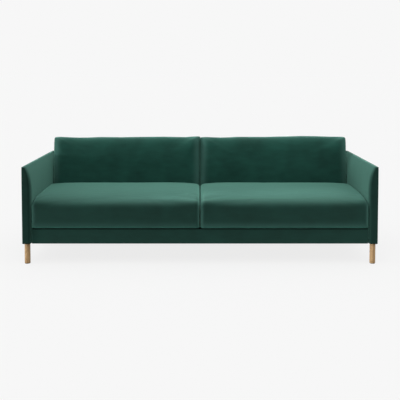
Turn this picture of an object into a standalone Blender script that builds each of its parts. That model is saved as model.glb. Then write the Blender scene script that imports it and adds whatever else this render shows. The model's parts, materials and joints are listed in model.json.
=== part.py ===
"""Two-cushion sofa bed: a fixed shell of thin arms and back, and a seat that pulls out on interleaved slats.

Metres, +Z up, front towards -Y, origin on the floor under the middle of the sofa.
"""
import math

import bmesh
import bpy
from mathutils import Matrix, Vector

# Overall size
SOFA_WIDTH = 2.360
SOFA_DEPTH = 0.920
ARM_TOP = 0.645

# Clearances
FIT = 0.0003
RUNNING_GAP = 0.004

# Legs
LEG_HEIGHT = 0.1325
LEG_DIAMETER = 0.038
LEG_SETBACK = 0.032
LEG_OUTSET = 0.003
GLIDE_HEIGHT = 0.0025
GLIDE_DIAMETER = 0.034
BOLT_DIAMETER = 0.008
BOLT_GRIP = 0.035

# Deck of slats
DECK_HEIGHT = 0.100
SLAT_COUNT = 19
SLAT_WIDTH = 0.100
SLAT_THICKNESS = 0.018
SLAT_EASE = 0.002

# Arms and back
ARM_THICKNESS = 0.060
ARM_TOP_WIDTH = 0.022
ARM_TAPER_HEIGHT = 0.225
ARM_FRONT_ROUND = 0.040
ARM_FRONT_TUCK = 0.014
ARM_BOARD = 0.015
ARM_RAIL_WIDTH = 0.044
ARM_RAIL_HEIGHT = 0.045
SIDE_PADDING = 0.008
FRONT_PADDING = 0.010
TOP_PADDING = 0.015
BACK_THICKNESS = 0.060
BACK_BOARD = 0.030
EDGE_ROUND = 0.006

# Rail under the seat
RAIL_RECESS = 0.010
RAIL_RAISE = 0.003
RAIL_PADDING = 0.019
RAIL_BOARD = 0.018
RAIL_FOOT_PADDING = 0.006
RAIL_RETURN = 0.003

# Beams, runners and rollers
BEAM_WIDTH = 0.030
BEAM_HEIGHT = 0.040
REAR_BEAM_WIDTH = 0.040
REAR_BEAM_HEIGHT = 0.035
REAR_BEAM_SETBACK = 0.120
RUNNER_DEPTH = 0.022
RUNNER_GAUGE = 0.002
RUNNER_HEADROOM = 0.004
RUNNER_DROP = 0.0035
ROLLER_DIAMETER = 0.024
ROLLER_WIDTH = 0.012
AXLE_DIAMETER = 0.008
AXLE_GRIP = 0.030

# Fold-down legs of the pull-out
FOLD_LEG_DIAMETER = 0.030
FOLD_LEG_INSET = 0.165
FOLD_PIVOT_DROP = 0.039
FOLD_GLIDE_HEIGHT = 0.005
FLOOR_GAP = 0.001
PIN_DIAMETER = 0.008
PIN_HEAD_DIAMETER = 0.014
PIN_HEAD_HEIGHT = 0.003
BRACKET_GAUGE = 0.003
BRACKET_WIDTH = 0.045
BRACKET_MARGIN = 0.012

# Seat cushions
CUSHION_GAP = 0.006
ARM_CLEARANCE = 0.005
SEAT_OVERHANG = 0.006
SEAT_HEIGHT = 0.220
SEAT_FACE_HEIGHT = 0.138
SEAT_REAR_HEIGHT = 0.175
SEAT_REAR_ROLL = 0.045
SEAT_END_DROP = 0.014
SEAT_EDGE = 0.020
SEAT_FOOT_ROUND = 0.010
SEAT_SIDE_DRAW = 0.006

# Back cushions
BACK_CUSHION_HEIGHT = 0.540
BACK_CUSHION_THICKNESS = 0.200
BACK_RECLINE = 6.0
BACK_EDGE = 0.045
BACK_TOP_DRAW = 0.006
SEAT_BACK_GAP = 0.005
FOLD_CLEARANCE = 0.005
LEAN_ROOM = 0.045

# Roundness of the cushions' curves, where 2 is an ellipse and more is squarer
SEAT_ROLL_POWER = 2.7
SEAT_DROP_POWER = 7.0
BACK_END_POWER = 3.5
TAPER_POWER = 3.6

# Facets
ROUND_SEGMENTS = 24
PIN_SEGMENTS = 16
BEND_STEPS = 5
BACK_OUTLINE_STEPS = 28
MIDDLE_STATIONS = 8

# Heights
UNDERSIDE = GLIDE_HEIGHT + LEG_HEIGHT
BODY_BOTTOM = UNDERSIDE + FIT
DECK_TOP = UNDERSIDE + DECK_HEIGHT
SLAT_BOTTOM = DECK_TOP - SLAT_THICKNESS
BEAM_TOP = SLAT_BOTTOM - FIT
CUSHION_BOTTOM = DECK_TOP + FIT
RUNNER_TOP = SLAT_BOTTOM - RUNNER_DROP
RUNNER_BOTTOM = RUNNER_TOP - 2 * RUNNER_GAUGE - ROLLER_DIAMETER - FIT - RUNNER_HEADROOM
AXLE_Z = RUNNER_BOTTOM + RUNNER_GAUGE + FIT + ROLLER_DIAMETER / 2
FOLD_PIVOT_Z = SLAT_BOTTOM - FOLD_PIVOT_DROP

# Places across the width
HALF_WIDTH = SOFA_WIDTH / 2
ARM_INNER_X = HALF_WIDTH - ARM_THICKNESS
FRAME_OUTER_X = HALF_WIDTH - SIDE_PADDING
ARM_RAIL_INNER_X = FRAME_OUTER_X - ARM_RAIL_WIDTH
LEG_X = (FRAME_OUTER_X + ARM_RAIL_INNER_X) / 2 + LEG_OUTSET
INSIDE_X = ARM_INNER_X - FIT
CUSHION_OUTER_X = ARM_INNER_X - ARM_CLEARANCE
RUNNER_LIP_X = INSIDE_X - RUNNER_DEPTH
ROLLER_X = INSIDE_X - RUNNER_GAUGE - (RUNNER_DEPTH - RUNNER_GAUGE) / 2
REAR_BEAM_END_X = RUNNER_LIP_X - RUNNING_GAP
FOLD_LEG_X = CUSHION_OUTER_X - FOLD_LEG_INSET

# Places from front to back
FRONT_Y = -SOFA_DEPTH / 2
BACK_Y = SOFA_DEPTH / 2
BACK_INNER_Y = BACK_Y - BACK_THICKNESS
ARM_REAR_Y = BACK_INNER_Y - FIT
FRONT_LEG_Y = FRONT_Y + LEG_SETBACK
REAR_LEG_Y = ARM_REAR_Y - LEG_SETBACK
RAIL_FACE_Y = FRONT_Y + RAIL_RECESS
RAIL_BOARD_Y = RAIL_FACE_Y + RAIL_PADDING + FIT
RAIL_REAR_Y = RAIL_BOARD_Y + RAIL_BOARD
BRACKET_Y = RAIL_REAR_Y + FIT
FOLD_LEG_Y = BRACKET_Y + BRACKET_GAUGE + 2 * FIT + FOLD_LEG_DIAMETER / 2
PIN_END_Y = FOLD_LEG_Y + FOLD_LEG_DIAMETER / 2 + 2 * FIT + PIN_HEAD_HEIGHT
FRONT_BEAM_Y = PIN_END_Y + RUNNING_GAP
FRONT_BEAM_REAR_Y = FRONT_BEAM_Y + BEAM_WIDTH
LEDGER_Y = ARM_REAR_Y - BEAM_WIDTH
REAR_BEAM_Y = LEDGER_Y - REAR_BEAM_SETBACK

# Fold line of the back cushions, far enough from their lower edge to turn clear of seat and deck
PIVOT_RISE = BACK_CUSHION_THICKNESS / 2 + FOLD_CLEARANCE
PIVOT_Y = BACK_INNER_Y - LEAN_ROOM - PIVOT_RISE
PIVOT_Z = CUSHION_BOTTOM + PIVOT_RISE

# The seat takes the depth that the leaning back cushions leave
SEAT_FRONT_Y = RAIL_FACE_Y - SEAT_OVERHANG
SEAT_REAR_Y = PIVOT_Y - PIVOT_RISE - SEAT_BACK_GAP
SEAT_DEPTH = SEAT_REAR_Y - SEAT_FRONT_Y

SIDES = (("left", -1), ("right", 1))


def clear_scene():
    for old in list(bpy.data.objects):
        bpy.data.objects.remove(old, do_unlink=True)


def make_finish(name, colour, roughness, metallic=0.0):
    finish = bpy.data.materials.new(name)
    finish.use_nodes = True
    shader = finish.node_tree.nodes["Principled BSDF"]
    shader.inputs["Base Color"].default_value = (*colour, 1.0)
    shader.inputs["Roughness"].default_value = roughness
    shader.inputs["Metallic"].default_value = metallic
    return finish


def world_place(piece):
    """Where an object's origin is, adding up the places of all that carries it."""
    place = Vector()
    while piece is not None:
        place += piece.location
        piece = piece.parent
    return place


def add_carrier(name, place):
    carrier = bpy.data.objects.new(name, None)
    bpy.context.scene.collection.objects.link(carrier)
    carrier.location = place
    return carrier


def add_piece(name, shape, finish, origin, carrier=None):
    """Make an object of a shape drawn in world places, with its own origin at the given place."""
    origin = Vector(origin)
    bmesh.ops.recalc_face_normals(shape, faces=shape.faces[:])
    bmesh.ops.translate(shape, verts=shape.verts[:], vec=-origin)
    mesh = bpy.data.meshes.new(name)
    shape.to_mesh(mesh)
    shape.free()
    if finish is not None:
        mesh.materials.append(finish)
    piece = bpy.data.objects.new(name, mesh)
    bpy.context.scene.collection.objects.link(piece)
    piece.parent = carrier
    piece.location = origin - world_place(carrier)
    return piece


def box_shape(low, high):
    shape = bmesh.new()
    bmesh.ops.create_cube(shape, size=1.0)
    low, high = Vector(low), Vector(high)
    for vert in shape.verts:
        share = vert.co + Vector((0.5, 0.5, 0.5))
        vert.co = low + Vector(a * b for a, b in zip(share, high - low))
    return shape


def middle(low, high):
    return (Vector(low) + Vector(high)) / 2


def add_block(name, low, high, finish, carrier=None, ease=0.0):
    piece = add_piece(name, box_shape(low, high), finish, middle(low, high), carrier)
    if ease:
        ease_edges(piece, ease, 1)
    return piece


def ease_edges(piece, width, segments):
    bevel = piece.modifiers.new("eased_edges", "BEVEL")
    bevel.width = width
    bevel.segments = segments
    bevel.limit_method = "ANGLE"
    bevel.harden_normals = False


def loft_shape(rings):
    """A closed skin over rings of equal point counts, with a flat cap on the first and the last."""
    shape = bmesh.new()
    loops = [[shape.verts.new(point) for point in ring] for ring in rings]
    for before, after in zip(loops, loops[1:]):
        for i in range(len(before)):
            j = (i + 1) % len(before)
            shape.faces.new((before[i], before[j], after[j], after[i]))
    shape.faces.new(loops[0])
    shape.faces.new(loops[-1])
    return shape


def extruded_along_y(outline, start, end):
    return loft_shape([[(x, y, z) for x, z in outline] for y in (start, end)])


def extruded_along_x(outline, start, end):
    return loft_shape([[(x, y, z) for y, z in outline] for x in (start, end)])


def turned_shape(profile, centre, axis, segments, hollow=False):
    """Turn (radius, height) points about an axis; a solid starts and ends on it, a hollow ring closes."""
    shape = bmesh.new()
    turn = Vector((0, 0, 1)).rotation_difference(Vector(axis)).to_matrix()
    loops = []
    for radius, height in profile:
        angles = [2 * math.pi * i / segments for i in range(segments if radius else 1)]
        points = [Vector((radius * math.cos(a), radius * math.sin(a), height)) for a in angles]
        loops.append([shape.verts.new(Vector(centre) + turn @ point) for point in points])
    pairs = list(zip(loops, loops[1:]))
    if hollow:
        pairs.append((loops[-1], loops[0]))
    for before, after in pairs:
        for i in range(segments):
            j = (i + 1) % segments
            if len(before) == 1:
                corners = (before[0], after[j], after[i])
            elif len(after) == 1:
                corners = (before[i], before[j], after[0])
            else:
                corners = (before[i], before[j], after[j], after[i])
            shape.faces.new(corners)
    return shape


def add_turned(name, profile, centre, axis, finish, carrier=None, segments=ROUND_SEGMENTS, hollow=False):
    shape = turned_shape(profile, centre, axis, segments, hollow)
    piece = add_piece(name, shape, finish, centre, carrier)
    piece.data.shade_smooth()
    piece.data.set_sharp_from_angle(angle=math.radians(30))
    return piece


def rod_profile(radius, start, end):
    return [(0.0, start), (radius, start), (radius, end), (0.0, end)]


def cut_with(piece, shape, name):
    """Subtract a shape drawn in world places from a piece."""
    cutter = add_piece(name, shape, None, world_place(piece))
    cutter.hide_render = True
    cutter.display_type = "WIRE"
    cut = piece.modifiers.new(name, "BOOLEAN")
    cut.operation = "DIFFERENCE"
    cut.object = cutter


def drill(piece, name, centre, axis, diameter, start, end):
    profile = rod_profile(diameter / 2 + FIT, start, end)
    cut_with(piece, turned_shape(profile, centre, axis, PIN_SEGMENTS), name)


def quarter_turn(steps):
    """Angles from 0 to a right angle."""
    return [math.pi / 2 * i / steps for i in range(steps + 1)]


def round_inset(distance, reach, depth):
    """How far a rounded edge stands back at a distance from its end."""
    left = 1 - min(distance / reach, 1.0)
    return depth * (1 - math.sqrt(1 - left * left))


def end_stations(start, end, reach):
    """Places along a cushion, close together in its rounded ends, each with its distance from the end."""
    edge = [reach * (1 - math.cos(a)) for a in quarter_turn(BEND_STEPS)]
    span = end - start
    inner = [reach + (span - 2 * reach) * i / MIDDLE_STATIONS for i in range(1, MIDDLE_STATIONS)]
    places = edge + inner + [span - e for e in reversed(edge)]
    return [(start + p, min(p, span - p), p / span) for p in places]


# Arms


def arm_thickness_at(z):
    """The arm's pad is full up to the seat and tapers in a soft curve to the narrow top."""
    rise = max(0.0, (z - (ARM_TOP - ARM_TAPER_HEIGHT)) / ARM_TAPER_HEIGHT)
    return ARM_TOP_WIDTH + (ARM_THICKNESS - ARM_TOP_WIDTH) * (1 - rise**TAPER_POWER)


def arm_outline(sign, distance):
    """The arm's section at a distance behind its front face, as (x, z) points."""
    back_off = round_inset(distance, EDGE_ROUND, EDGE_ROUND)
    tuck = round_inset(distance, ARM_FRONT_ROUND, ARM_FRONT_TUCK)
    outer = HALF_WIDTH - back_off
    top = ARM_TOP - back_off
    points = [(outer, BODY_BOTTOM)]
    for angle in quarter_turn(BEND_STEPS - 2):
        points.append(
            (
                outer - EDGE_ROUND * (1 - math.cos(angle)),
                top - EDGE_ROUND * (1 - math.sin(angle)),
            )
        )
    for angle in reversed(quarter_turn(2)):
        z = top - EDGE_ROUND * (1 - math.sin(angle))
        wide = arm_thickness_at(z)
        inner = HALF_WIDTH - wide + EDGE_ROUND * (1 - math.cos(angle))
        points.append((inner + tuck * wide / ARM_THICKNESS, z))
    taper_start = ARM_TOP - ARM_TAPER_HEIGHT
    steps = BEND_STEPS + 1
    for i in range(1, steps + 1):
        z = ARM_TOP - 2 * EDGE_ROUND + (taper_start - ARM_TOP + 2 * EDGE_ROUND) * i / steps
        wide = arm_thickness_at(z)
        points.append((HALF_WIDTH - wide + tuck * wide / ARM_THICKNESS, z))
    points.append((ARM_INNER_X + tuck, BODY_BOTTOM))
    return [(sign * x, z) for x, z in points]


def arm_frame_outline(sign, grow, bottom):
    """An upright board with a thick rail along its foot, as (x, z) points."""
    outer = FRAME_OUTER_X + grow
    board = FRAME_OUTER_X - ARM_BOARD - grow
    rail = ARM_RAIL_INNER_X - grow
    rail_top = BODY_BOTTOM + ARM_RAIL_HEIGHT + grow
    top = ARM_TOP - TOP_PADDING + grow
    points = [
        (outer, bottom),
        (outer, top),
        (board, top),
        (board, rail_top),
        (rail, rail_top),
        (rail, bottom),
    ]
    return [(sign * x, z) for x, z in points]


def build_arm(side, sign, finishes):
    frame_front = FRONT_Y + FRONT_PADDING + FIT
    outline = arm_frame_outline(sign, 0.0, BODY_BOTTOM)
    origin = (sign * LEG_X, frame_front, BODY_BOTTOM)
    shape = extruded_along_y(outline, frame_front, ARM_REAR_Y)
    frame = add_piece(f"{side}_arm_frame", shape, finishes["plywood"], origin)
    for place, y in (("front", FRONT_LEG_Y), ("rear", REAR_LEG_Y)):
        foot = (sign * LEG_X, y, UNDERSIDE)
        drill(frame, f"{place}_{side}_bolt_hole", foot, (0, 0, 1), BOLT_DIAMETER, -FIT, BOLT_GRIP + FIT)

    edge = [EDGE_ROUND * (1 - math.cos(a)) for a in quarter_turn(2)]
    round_off = [ARM_FRONT_ROUND * (1 - math.cos(a)) for a in quarter_turn(BEND_STEPS)]
    distances = sorted(set(edge + round_off)) + [ARM_REAR_Y - FRONT_Y]
    rings = []
    for distance in distances:
        rings.append([(x, FRONT_Y + distance, z) for x, z in arm_outline(sign, distance)])
    cover = add_piece(
        f"{side}_arm_cover",
        loft_shape(rings),
        finishes["velvet"],
        (sign * HALF_WIDTH, FRONT_Y, BODY_BOTTOM),
    )
    pocket = arm_frame_outline(sign, FIT, BODY_BOTTOM - RUNNING_GAP)
    pocket_shape = extruded_along_y(pocket, frame_front - FIT, ARM_REAR_Y + RUNNING_GAP)
    cut_with(cover, pocket_shape, f"{side}_arm_pocket")


# Back


def build_back(finishes):
    padding = (BACK_THICKNESS - BACK_BOARD) / 2
    low = Vector((-FRAME_OUTER_X, BACK_INNER_Y + padding, BODY_BOTTOM))
    high = Vector((FRAME_OUTER_X, BACK_Y - padding, ARM_TOP - TOP_PADDING))
    add_block("back_frame", low, high, finishes["plywood"])
    cover = add_block(
        "back_cover",
        (-HALF_WIDTH, BACK_INNER_Y, BODY_BOTTOM),
        (HALF_WIDTH, BACK_Y, ARM_TOP),
        finishes["velvet"],
    )
    ease_edges(cover, EDGE_ROUND, 2)
    grow = Vector((FIT, FIT, FIT))
    below = Vector((FIT, FIT, RUNNING_GAP))
    cut_with(cover, box_shape(low - below, high + grow), "back_pocket")


# Legs


def build_leg(place, side, sign, y, finishes):
    name = f"{place}_{side}_leg"
    foot = (sign * LEG_X, y, 0.0)
    radius = LEG_DIAMETER / 2
    hole = BOLT_DIAMETER / 2 + FIT
    start = GLIDE_HEIGHT + FIT
    ease = SLAT_EASE
    leg_profile = [
        (0.0, start),
        (radius - ease, start),
        (radius, start + ease),
        (radius, UNDERSIDE),
        (hole, UNDERSIDE),
        (hole, UNDERSIDE - BOLT_GRIP - FIT),
        (0.0, UNDERSIDE - BOLT_GRIP - FIT),
    ]
    add_turned(name, leg_profile, foot, (0, 0, 1), finishes["oak"])
    bolt = rod_profile(BOLT_DIAMETER / 2, UNDERSIDE - BOLT_GRIP, UNDERSIDE + BOLT_GRIP)
    add_turned(f"{name}_bolt", bolt, foot, (0, 0, 1), finishes["steel"], segments=PIN_SEGMENTS)
    glide = rod_profile(GLIDE_DIAMETER / 2, 0.0, GLIDE_HEIGHT)
    add_turned(f"{name}_glide", glide, foot, (0, 0, 1), finishes["nylon"])


# Fixed beams and runners


def build_beams(finishes):
    add_block(
        "front_beam",
        (-INSIDE_X, FRONT_BEAM_Y, BEAM_TOP - BEAM_HEIGHT),
        (INSIDE_X, FRONT_BEAM_REAR_Y, BEAM_TOP),
        finishes["plywood"],
        ease=SLAT_EASE,
    )
    add_block(
        "rear_ledger",
        (-INSIDE_X, LEDGER_Y, BEAM_TOP - BEAM_HEIGHT),
        (INSIDE_X, ARM_REAR_Y, BEAM_TOP),
        finishes["plywood"],
        ease=SLAT_EASE,
    )


def build_runner(side, sign, finishes):
    """A channel on the arm's inner face, open towards the pull-out."""
    web = INSIDE_X - RUNNER_GAUGE
    floor = RUNNER_BOTTOM + RUNNER_GAUGE
    roof = RUNNER_TOP - RUNNER_GAUGE
    outline = [
        (INSIDE_X, RUNNER_BOTTOM),
        (INSIDE_X, RUNNER_TOP),
        (RUNNER_LIP_X, RUNNER_TOP),
        (RUNNER_LIP_X, roof),
        (web, roof),
        (web, floor),
        (RUNNER_LIP_X, floor),
        (RUNNER_LIP_X, RUNNER_BOTTOM),
    ]
    start = FRONT_BEAM_REAR_Y + RUNNING_GAP
    end = LEDGER_Y - RUNNING_GAP
    shape = extruded_along_y([(sign * x, z) for x, z in outline], start, end)
    origin = (sign * INSIDE_X, start, RUNNER_BOTTOM)
    add_piece(f"{side}_runner", shape, finishes["steel"], origin)


# Slats


def slat_places():
    """Slat centres across the deck, evenly spread."""
    pitch = 2 * INSIDE_X / SLAT_COUNT
    return [(i - (SLAT_COUNT - 1) / 2) * pitch for i in range(SLAT_COUNT)]


def build_slats(finishes, pull_out):
    """Every other slat is fixed; those between slide with the pull-out."""
    fixed_rear = ARM_REAR_Y
    sliding_rear = REAR_BEAM_Y + REAR_BEAM_WIDTH
    for i, x in enumerate(slat_places()):
        left, right = x - SLAT_WIDTH / 2, x + SLAT_WIDTH / 2
        number = i // 2 + 1
        if i % 2 == 0:
            low = (left, FRONT_BEAM_Y, SLAT_BOTTOM)
            high = (right, fixed_rear, DECK_TOP)
            add_block(f"fixed_slat_{number:02d}", low, high, finishes["slat"], ease=SLAT_EASE)
        else:
            low = (left, RAIL_BOARD_Y, SLAT_BOTTOM)
            high = (right, sliding_rear, DECK_TOP)
            name = f"sliding_slat_{number:02d}"
            add_block(name, low, high, finishes["slat"], pull_out, ease=SLAT_EASE)


# Pull-out


def build_front_rail(finishes, pull_out):
    """A board under the slats' front ends in a velvet sleeve that also hides those ends."""
    foot = BODY_BOTTOM + RAIL_FOOT_PADDING
    half = CUSHION_OUTER_X - SIDE_PADDING
    add_block(
        "front_rail",
        (-half, RAIL_BOARD_Y, foot + FIT),
        (half, RAIL_REAR_Y, BEAM_TOP),
        finishes["plywood"],
        pull_out,
    )
    sleeve_rear = RAIL_REAR_Y + FIT + RAIL_RETURN
    cover = add_block(
        "front_rail_cover",
        (-CUSHION_OUTER_X, RAIL_FACE_Y, BODY_BOTTOM + RAIL_RAISE),
        (CUSHION_OUTER_X, sleeve_rear, DECK_TOP - FIT),
        finishes["velvet"],
        pull_out,
    )
    ease_edges(cover, RAIL_RETURN / 2, 2)
    return_top = FOLD_PIVOT_Z - BRACKET_MARGIN - RUNNING_GAP
    above = DECK_TOP + RUNNING_GAP
    behind = sleeve_rear + RUNNING_GAP
    pocket = [
        (RAIL_BOARD_Y - FIT, foot),
        (RAIL_REAR_Y + FIT, foot),
        (RAIL_REAR_Y + FIT, return_top),
        (behind, return_top),
        (behind, above),
        (RAIL_BOARD_Y - FIT, above),
    ]
    cut_with(cover, extruded_along_x(pocket, -half - FIT, half + FIT), "front_rail_pocket")


def build_rear_beam(finishes, pull_out):
    beam = add_block(
        "rear_beam",
        (-REAR_BEAM_END_X, REAR_BEAM_Y, BEAM_TOP - REAR_BEAM_HEIGHT),
        (REAR_BEAM_END_X, REAR_BEAM_Y + REAR_BEAM_WIDTH, BEAM_TOP),
        finishes["plywood"],
        pull_out,
    )
    for side, sign in SIDES:
        end = (sign * REAR_BEAM_END_X, REAR_BEAM_Y + REAR_BEAM_WIDTH / 2, AXLE_Z)
        outward = (sign, 0, 0)
        drill(beam, f"{side}_axle_hole", end, outward, AXLE_DIAMETER, -AXLE_GRIP - FIT, FIT)
        build_roller(side, sign, end, outward, finishes, pull_out)


def build_roller(side, sign, beam_end, outward, finishes, pull_out):
    """A nylon wheel in the runner, on an axle that is fixed in the rear beam's end."""
    reach = ROLLER_X - REAR_BEAM_END_X
    wheel_start = reach - ROLLER_WIDTH / 2
    wheel_end = reach + ROLLER_WIDTH / 2
    collar = AXLE_DIAMETER / 2 + RUNNER_GAUGE
    axle = [
        (0.0, -AXLE_GRIP),
        (AXLE_DIAMETER / 2, -AXLE_GRIP),
        (AXLE_DIAMETER / 2, FIT),
        (collar, FIT),
        (collar, wheel_start - FIT),
        (AXLE_DIAMETER / 2, wheel_start - FIT),
        (AXLE_DIAMETER / 2, wheel_end),
        (0.0, wheel_end),
    ]
    add_turned(
        f"{side}_axle", axle, beam_end, outward, finishes["steel"], pull_out, segments=PIN_SEGMENTS
    )
    bore = AXLE_DIAMETER / 2 + FIT
    rim = ROLLER_DIAMETER / 2
    half = ROLLER_WIDTH / 2
    ease = SLAT_EASE / 2
    wheel = [
        (bore, -half),
        (rim - ease, -half),
        (rim, ease - half),
        (rim, half - ease),
        (rim - ease, half),
        (bore, half),
    ]
    hub = (sign * ROLLER_X, beam_end[1], beam_end[2])
    add_turned(f"{side}_roller", wheel, hub, outward, finishes["nylon"], pull_out, hollow=True)


def build_fold_leg(side, sign, finishes, pull_out):
    """A leg that lies along the rail, pointing to the middle, and turns down about a pin through its end."""
    pivot = Vector((sign * FOLD_LEG_X, FOLD_LEG_Y, FOLD_PIVOT_Z))
    inward = (-sign, 0, 0)
    backward = (0, 1, 0)
    bracket = add_block(
        f"{side}_leg_bracket",
        (pivot.x - BRACKET_WIDTH / 2, BRACKET_Y, FOLD_PIVOT_Z - BRACKET_MARGIN),
        (pivot.x + BRACKET_WIDTH / 2, BRACKET_Y + BRACKET_GAUGE, BEAM_TOP),
        finishes["steel"],
        pull_out,
    )
    to_bracket = BRACKET_Y - FOLD_LEG_Y
    through = FOLD_LEG_DIAMETER
    drill(bracket, f"{side}_bracket_hole", pivot, backward, PIN_DIAMETER, -through, 0.0)
    head_start = FOLD_LEG_DIAMETER / 2 + 2 * FIT
    pin = [
        (0.0, to_bracket),
        (PIN_DIAMETER / 2, to_bracket),
        (PIN_DIAMETER / 2, head_start),
        (PIN_HEAD_DIAMETER / 2, head_start),
        (PIN_HEAD_DIAMETER / 2, head_start + PIN_HEAD_HEIGHT),
        (0.0, head_start + PIN_HEAD_HEIGHT),
    ]
    add_turned(
        f"{side}_leg_pin", pin, pivot, backward, finishes["steel"], pull_out, segments=PIN_SEGMENTS
    )
    radius = FOLD_LEG_DIAMETER / 2
    glide_end = FOLD_PIVOT_Z - FLOOR_GAP
    leg_end = glide_end - FOLD_GLIDE_HEIGHT - FIT
    knuckle = [(radius * math.sin(a), -radius * math.cos(a)) for a in quarter_turn(BEND_STEPS)]
    knuckle[0] = (0.0, -radius)
    leg_profile = knuckle + [(radius, leg_end), (0.0, leg_end)]
    leg = add_turned(f"{side}_fold_leg", leg_profile, pivot, inward, finishes["oak"], pull_out)
    drill(leg, f"{side}_fold_leg_hole", pivot, backward, PIN_DIAMETER, -through, through)
    glide = rod_profile(radius, glide_end - FOLD_GLIDE_HEIGHT, glide_end)
    add_turned(f"{side}_fold_glide", glide, pivot, inward, finishes["nylon"], leg)


# Cushions


def seat_outline(height, inset):
    """A seat cushion's side view as (y, z): flat foot, upright face, long roll up to the crown, rear roll."""
    front = SEAT_FRONT_Y + inset
    rear = SEAT_REAR_Y - inset
    low = CUSHION_BOTTOM + inset / 2
    top = CUSHION_BOTTOM + height - inset
    face = CUSHION_BOTTOM + SEAT_FACE_HEIGHT - inset
    heel = CUSHION_BOTTOM + SEAT_REAR_HEIGHT - inset
    rear_roll = SEAT_REAR_ROLL - inset
    front_roll = rear - front - rear_roll
    power = 2 / SEAT_ROLL_POWER
    points = []
    for angle in reversed(quarter_turn(2)):
        points.append(
            (
                rear - SEAT_FOOT_ROUND * (1 - math.cos(angle)),
                low + SEAT_FOOT_ROUND * (1 - math.sin(angle)),
            )
        )
    points.reverse()
    for angle in reversed(quarter_turn(2)):
        points.append(
            (
                front + SEAT_FOOT_ROUND * (1 - math.cos(angle)),
                low + SEAT_FOOT_ROUND * (1 - math.sin(angle)),
            )
        )
    for angle in quarter_turn(2 * BEND_STEPS):
        points.append(
            (
                front + front_roll * (1 - max(0.0, math.cos(angle)) ** power),
                face + (top - face) * math.sin(angle) ** power,
            )
        )
    for angle in reversed(quarter_turn(BEND_STEPS)[:-1]):
        points.append(
            (
                rear - rear_roll * (1 - math.cos(angle) ** power),
                heel + (top - heel) * math.sin(angle) ** power,
            )
        )
    return points


def build_seat_cushion(side, sign, finishes, pull_out):
    rings = []
    for x, to_end, share in end_stations(CUSHION_GAP / 2, CUSHION_OUTER_X, SEAT_EDGE):
        inset = round_inset(to_end, SEAT_EDGE, SEAT_EDGE)
        off_middle = abs(2 * share - 1)
        height = SEAT_HEIGHT - SEAT_END_DROP * off_middle**SEAT_DROP_POWER
        towards_middle = SEAT_SIDE_DRAW * (1 - 2 * share) * off_middle**2
        ring = []
        for y, z in seat_outline(height, inset):
            along = (y - SEAT_FRONT_Y) / SEAT_DEPTH
            draw = towards_middle * math.sin(math.pi * along)
            ring.append((sign * (x + draw), y, z))
        rings.append(ring)
    origin = (sign * (CUSHION_GAP / 2 + CUSHION_OUTER_X) / 2, SEAT_FRONT_Y, CUSHION_BOTTOM)
    name = f"{side}_seat_cushion"
    cushion = add_piece(name, loft_shape(rings), finishes["velvet"], origin, pull_out)
    cushion.data.shade_smooth()


def back_outline(half_thickness, inset, top_draw):
    """A back cushion's side view as (out, up) from its fold line, before it is leaned back."""
    half_height = BACK_CUSHION_HEIGHT / 2 - inset
    centre = BACK_CUSHION_HEIGHT / 2 - PIVOT_RISE
    points = []
    for i in range(BACK_OUTLINE_STEPS):
        angle = 2 * math.pi * i / BACK_OUTLINE_STEPS
        rise = math.copysign(abs(math.cos(angle)) ** (2 / BACK_END_POWER), math.cos(angle))
        up = centre + half_height * rise - top_draw * max(0.0, rise)
        points.append((half_thickness * math.sin(angle), up))
    return points


def build_back_cushion(side, sign, finishes, pull_out):
    pivot = Vector((sign * (CUSHION_GAP / 2 + CUSHION_OUTER_X) / 2, PIVOT_Y, PIVOT_Z))
    lean = Matrix.Rotation(-math.radians(BACK_RECLINE), 3, "X")
    rings = []
    for x, to_end, share in end_stations(CUSHION_GAP / 2, CUSHION_OUTER_X, BACK_EDGE):
        inset = round_inset(to_end, BACK_EDGE, BACK_EDGE)
        half_thickness = BACK_CUSHION_THICKNESS / 2 - inset
        top_draw = BACK_TOP_DRAW * math.sin(math.pi * share)
        ring = []
        for out, up in back_outline(half_thickness, inset / 2, top_draw):
            place = pivot + lean @ Vector((0, out, up))
            ring.append((sign * x, place.y, place.z))
        rings.append(ring)
    name = f"{side}_back_cushion"
    cushion = add_piece(name, loft_shape(rings), finishes["velvet"], pivot, pull_out)
    cushion.data.shade_smooth()


def main():
    clear_scene()
    finishes = {
        "velvet": make_finish("green_velvet", (0.020, 0.085, 0.065), 0.85),
        "oak": make_finish("oiled_oak", (0.45, 0.30, 0.16), 0.5),
        "plywood": make_finish("plywood", (0.55, 0.42, 0.27), 0.7),
        "slat": make_finish("birch_slat", (0.60, 0.46, 0.30), 0.6),
        "steel": make_finish("zinc_plated_steel", (0.60, 0.60, 0.60), 0.35, 1.0),
        "nylon": make_finish("black_nylon", (0.04, 0.04, 0.04), 0.6),
    }
    pull_out = add_carrier("pull_out", (0.0, RAIL_FACE_Y, DECK_TOP))
    build_back(finishes)
    build_beams(finishes)
    build_slats(finishes, pull_out)
    build_front_rail(finishes, pull_out)
    build_rear_beam(finishes, pull_out)
    for side, sign in SIDES:
        build_arm(side, sign, finishes)
        build_leg("front", side, sign, FRONT_LEG_Y, finishes)
        build_leg("rear", side, sign, REAR_LEG_Y, finishes)
        build_runner(side, sign, finishes)
        build_fold_leg(side, sign, finishes, pull_out)
        build_seat_cushion(side, sign, finishes, pull_out)
        build_back_cushion(side, sign, finishes, pull_out)


main()
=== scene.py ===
# %% [markdown]
# # A velvet sofa bed
# This lesson dresses a wide sofa bed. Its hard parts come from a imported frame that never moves, and
# every soft part is made here: two seat cushions, two back cushions, and the sleeves on arms, back and rail.
# Each new piece rides on one body of the frame, so the bed still opens when the picture is done.

# %% Load the fixed frame
import json
import math

import bpy
import numpy as np
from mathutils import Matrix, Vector, kdtree, noise

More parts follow.
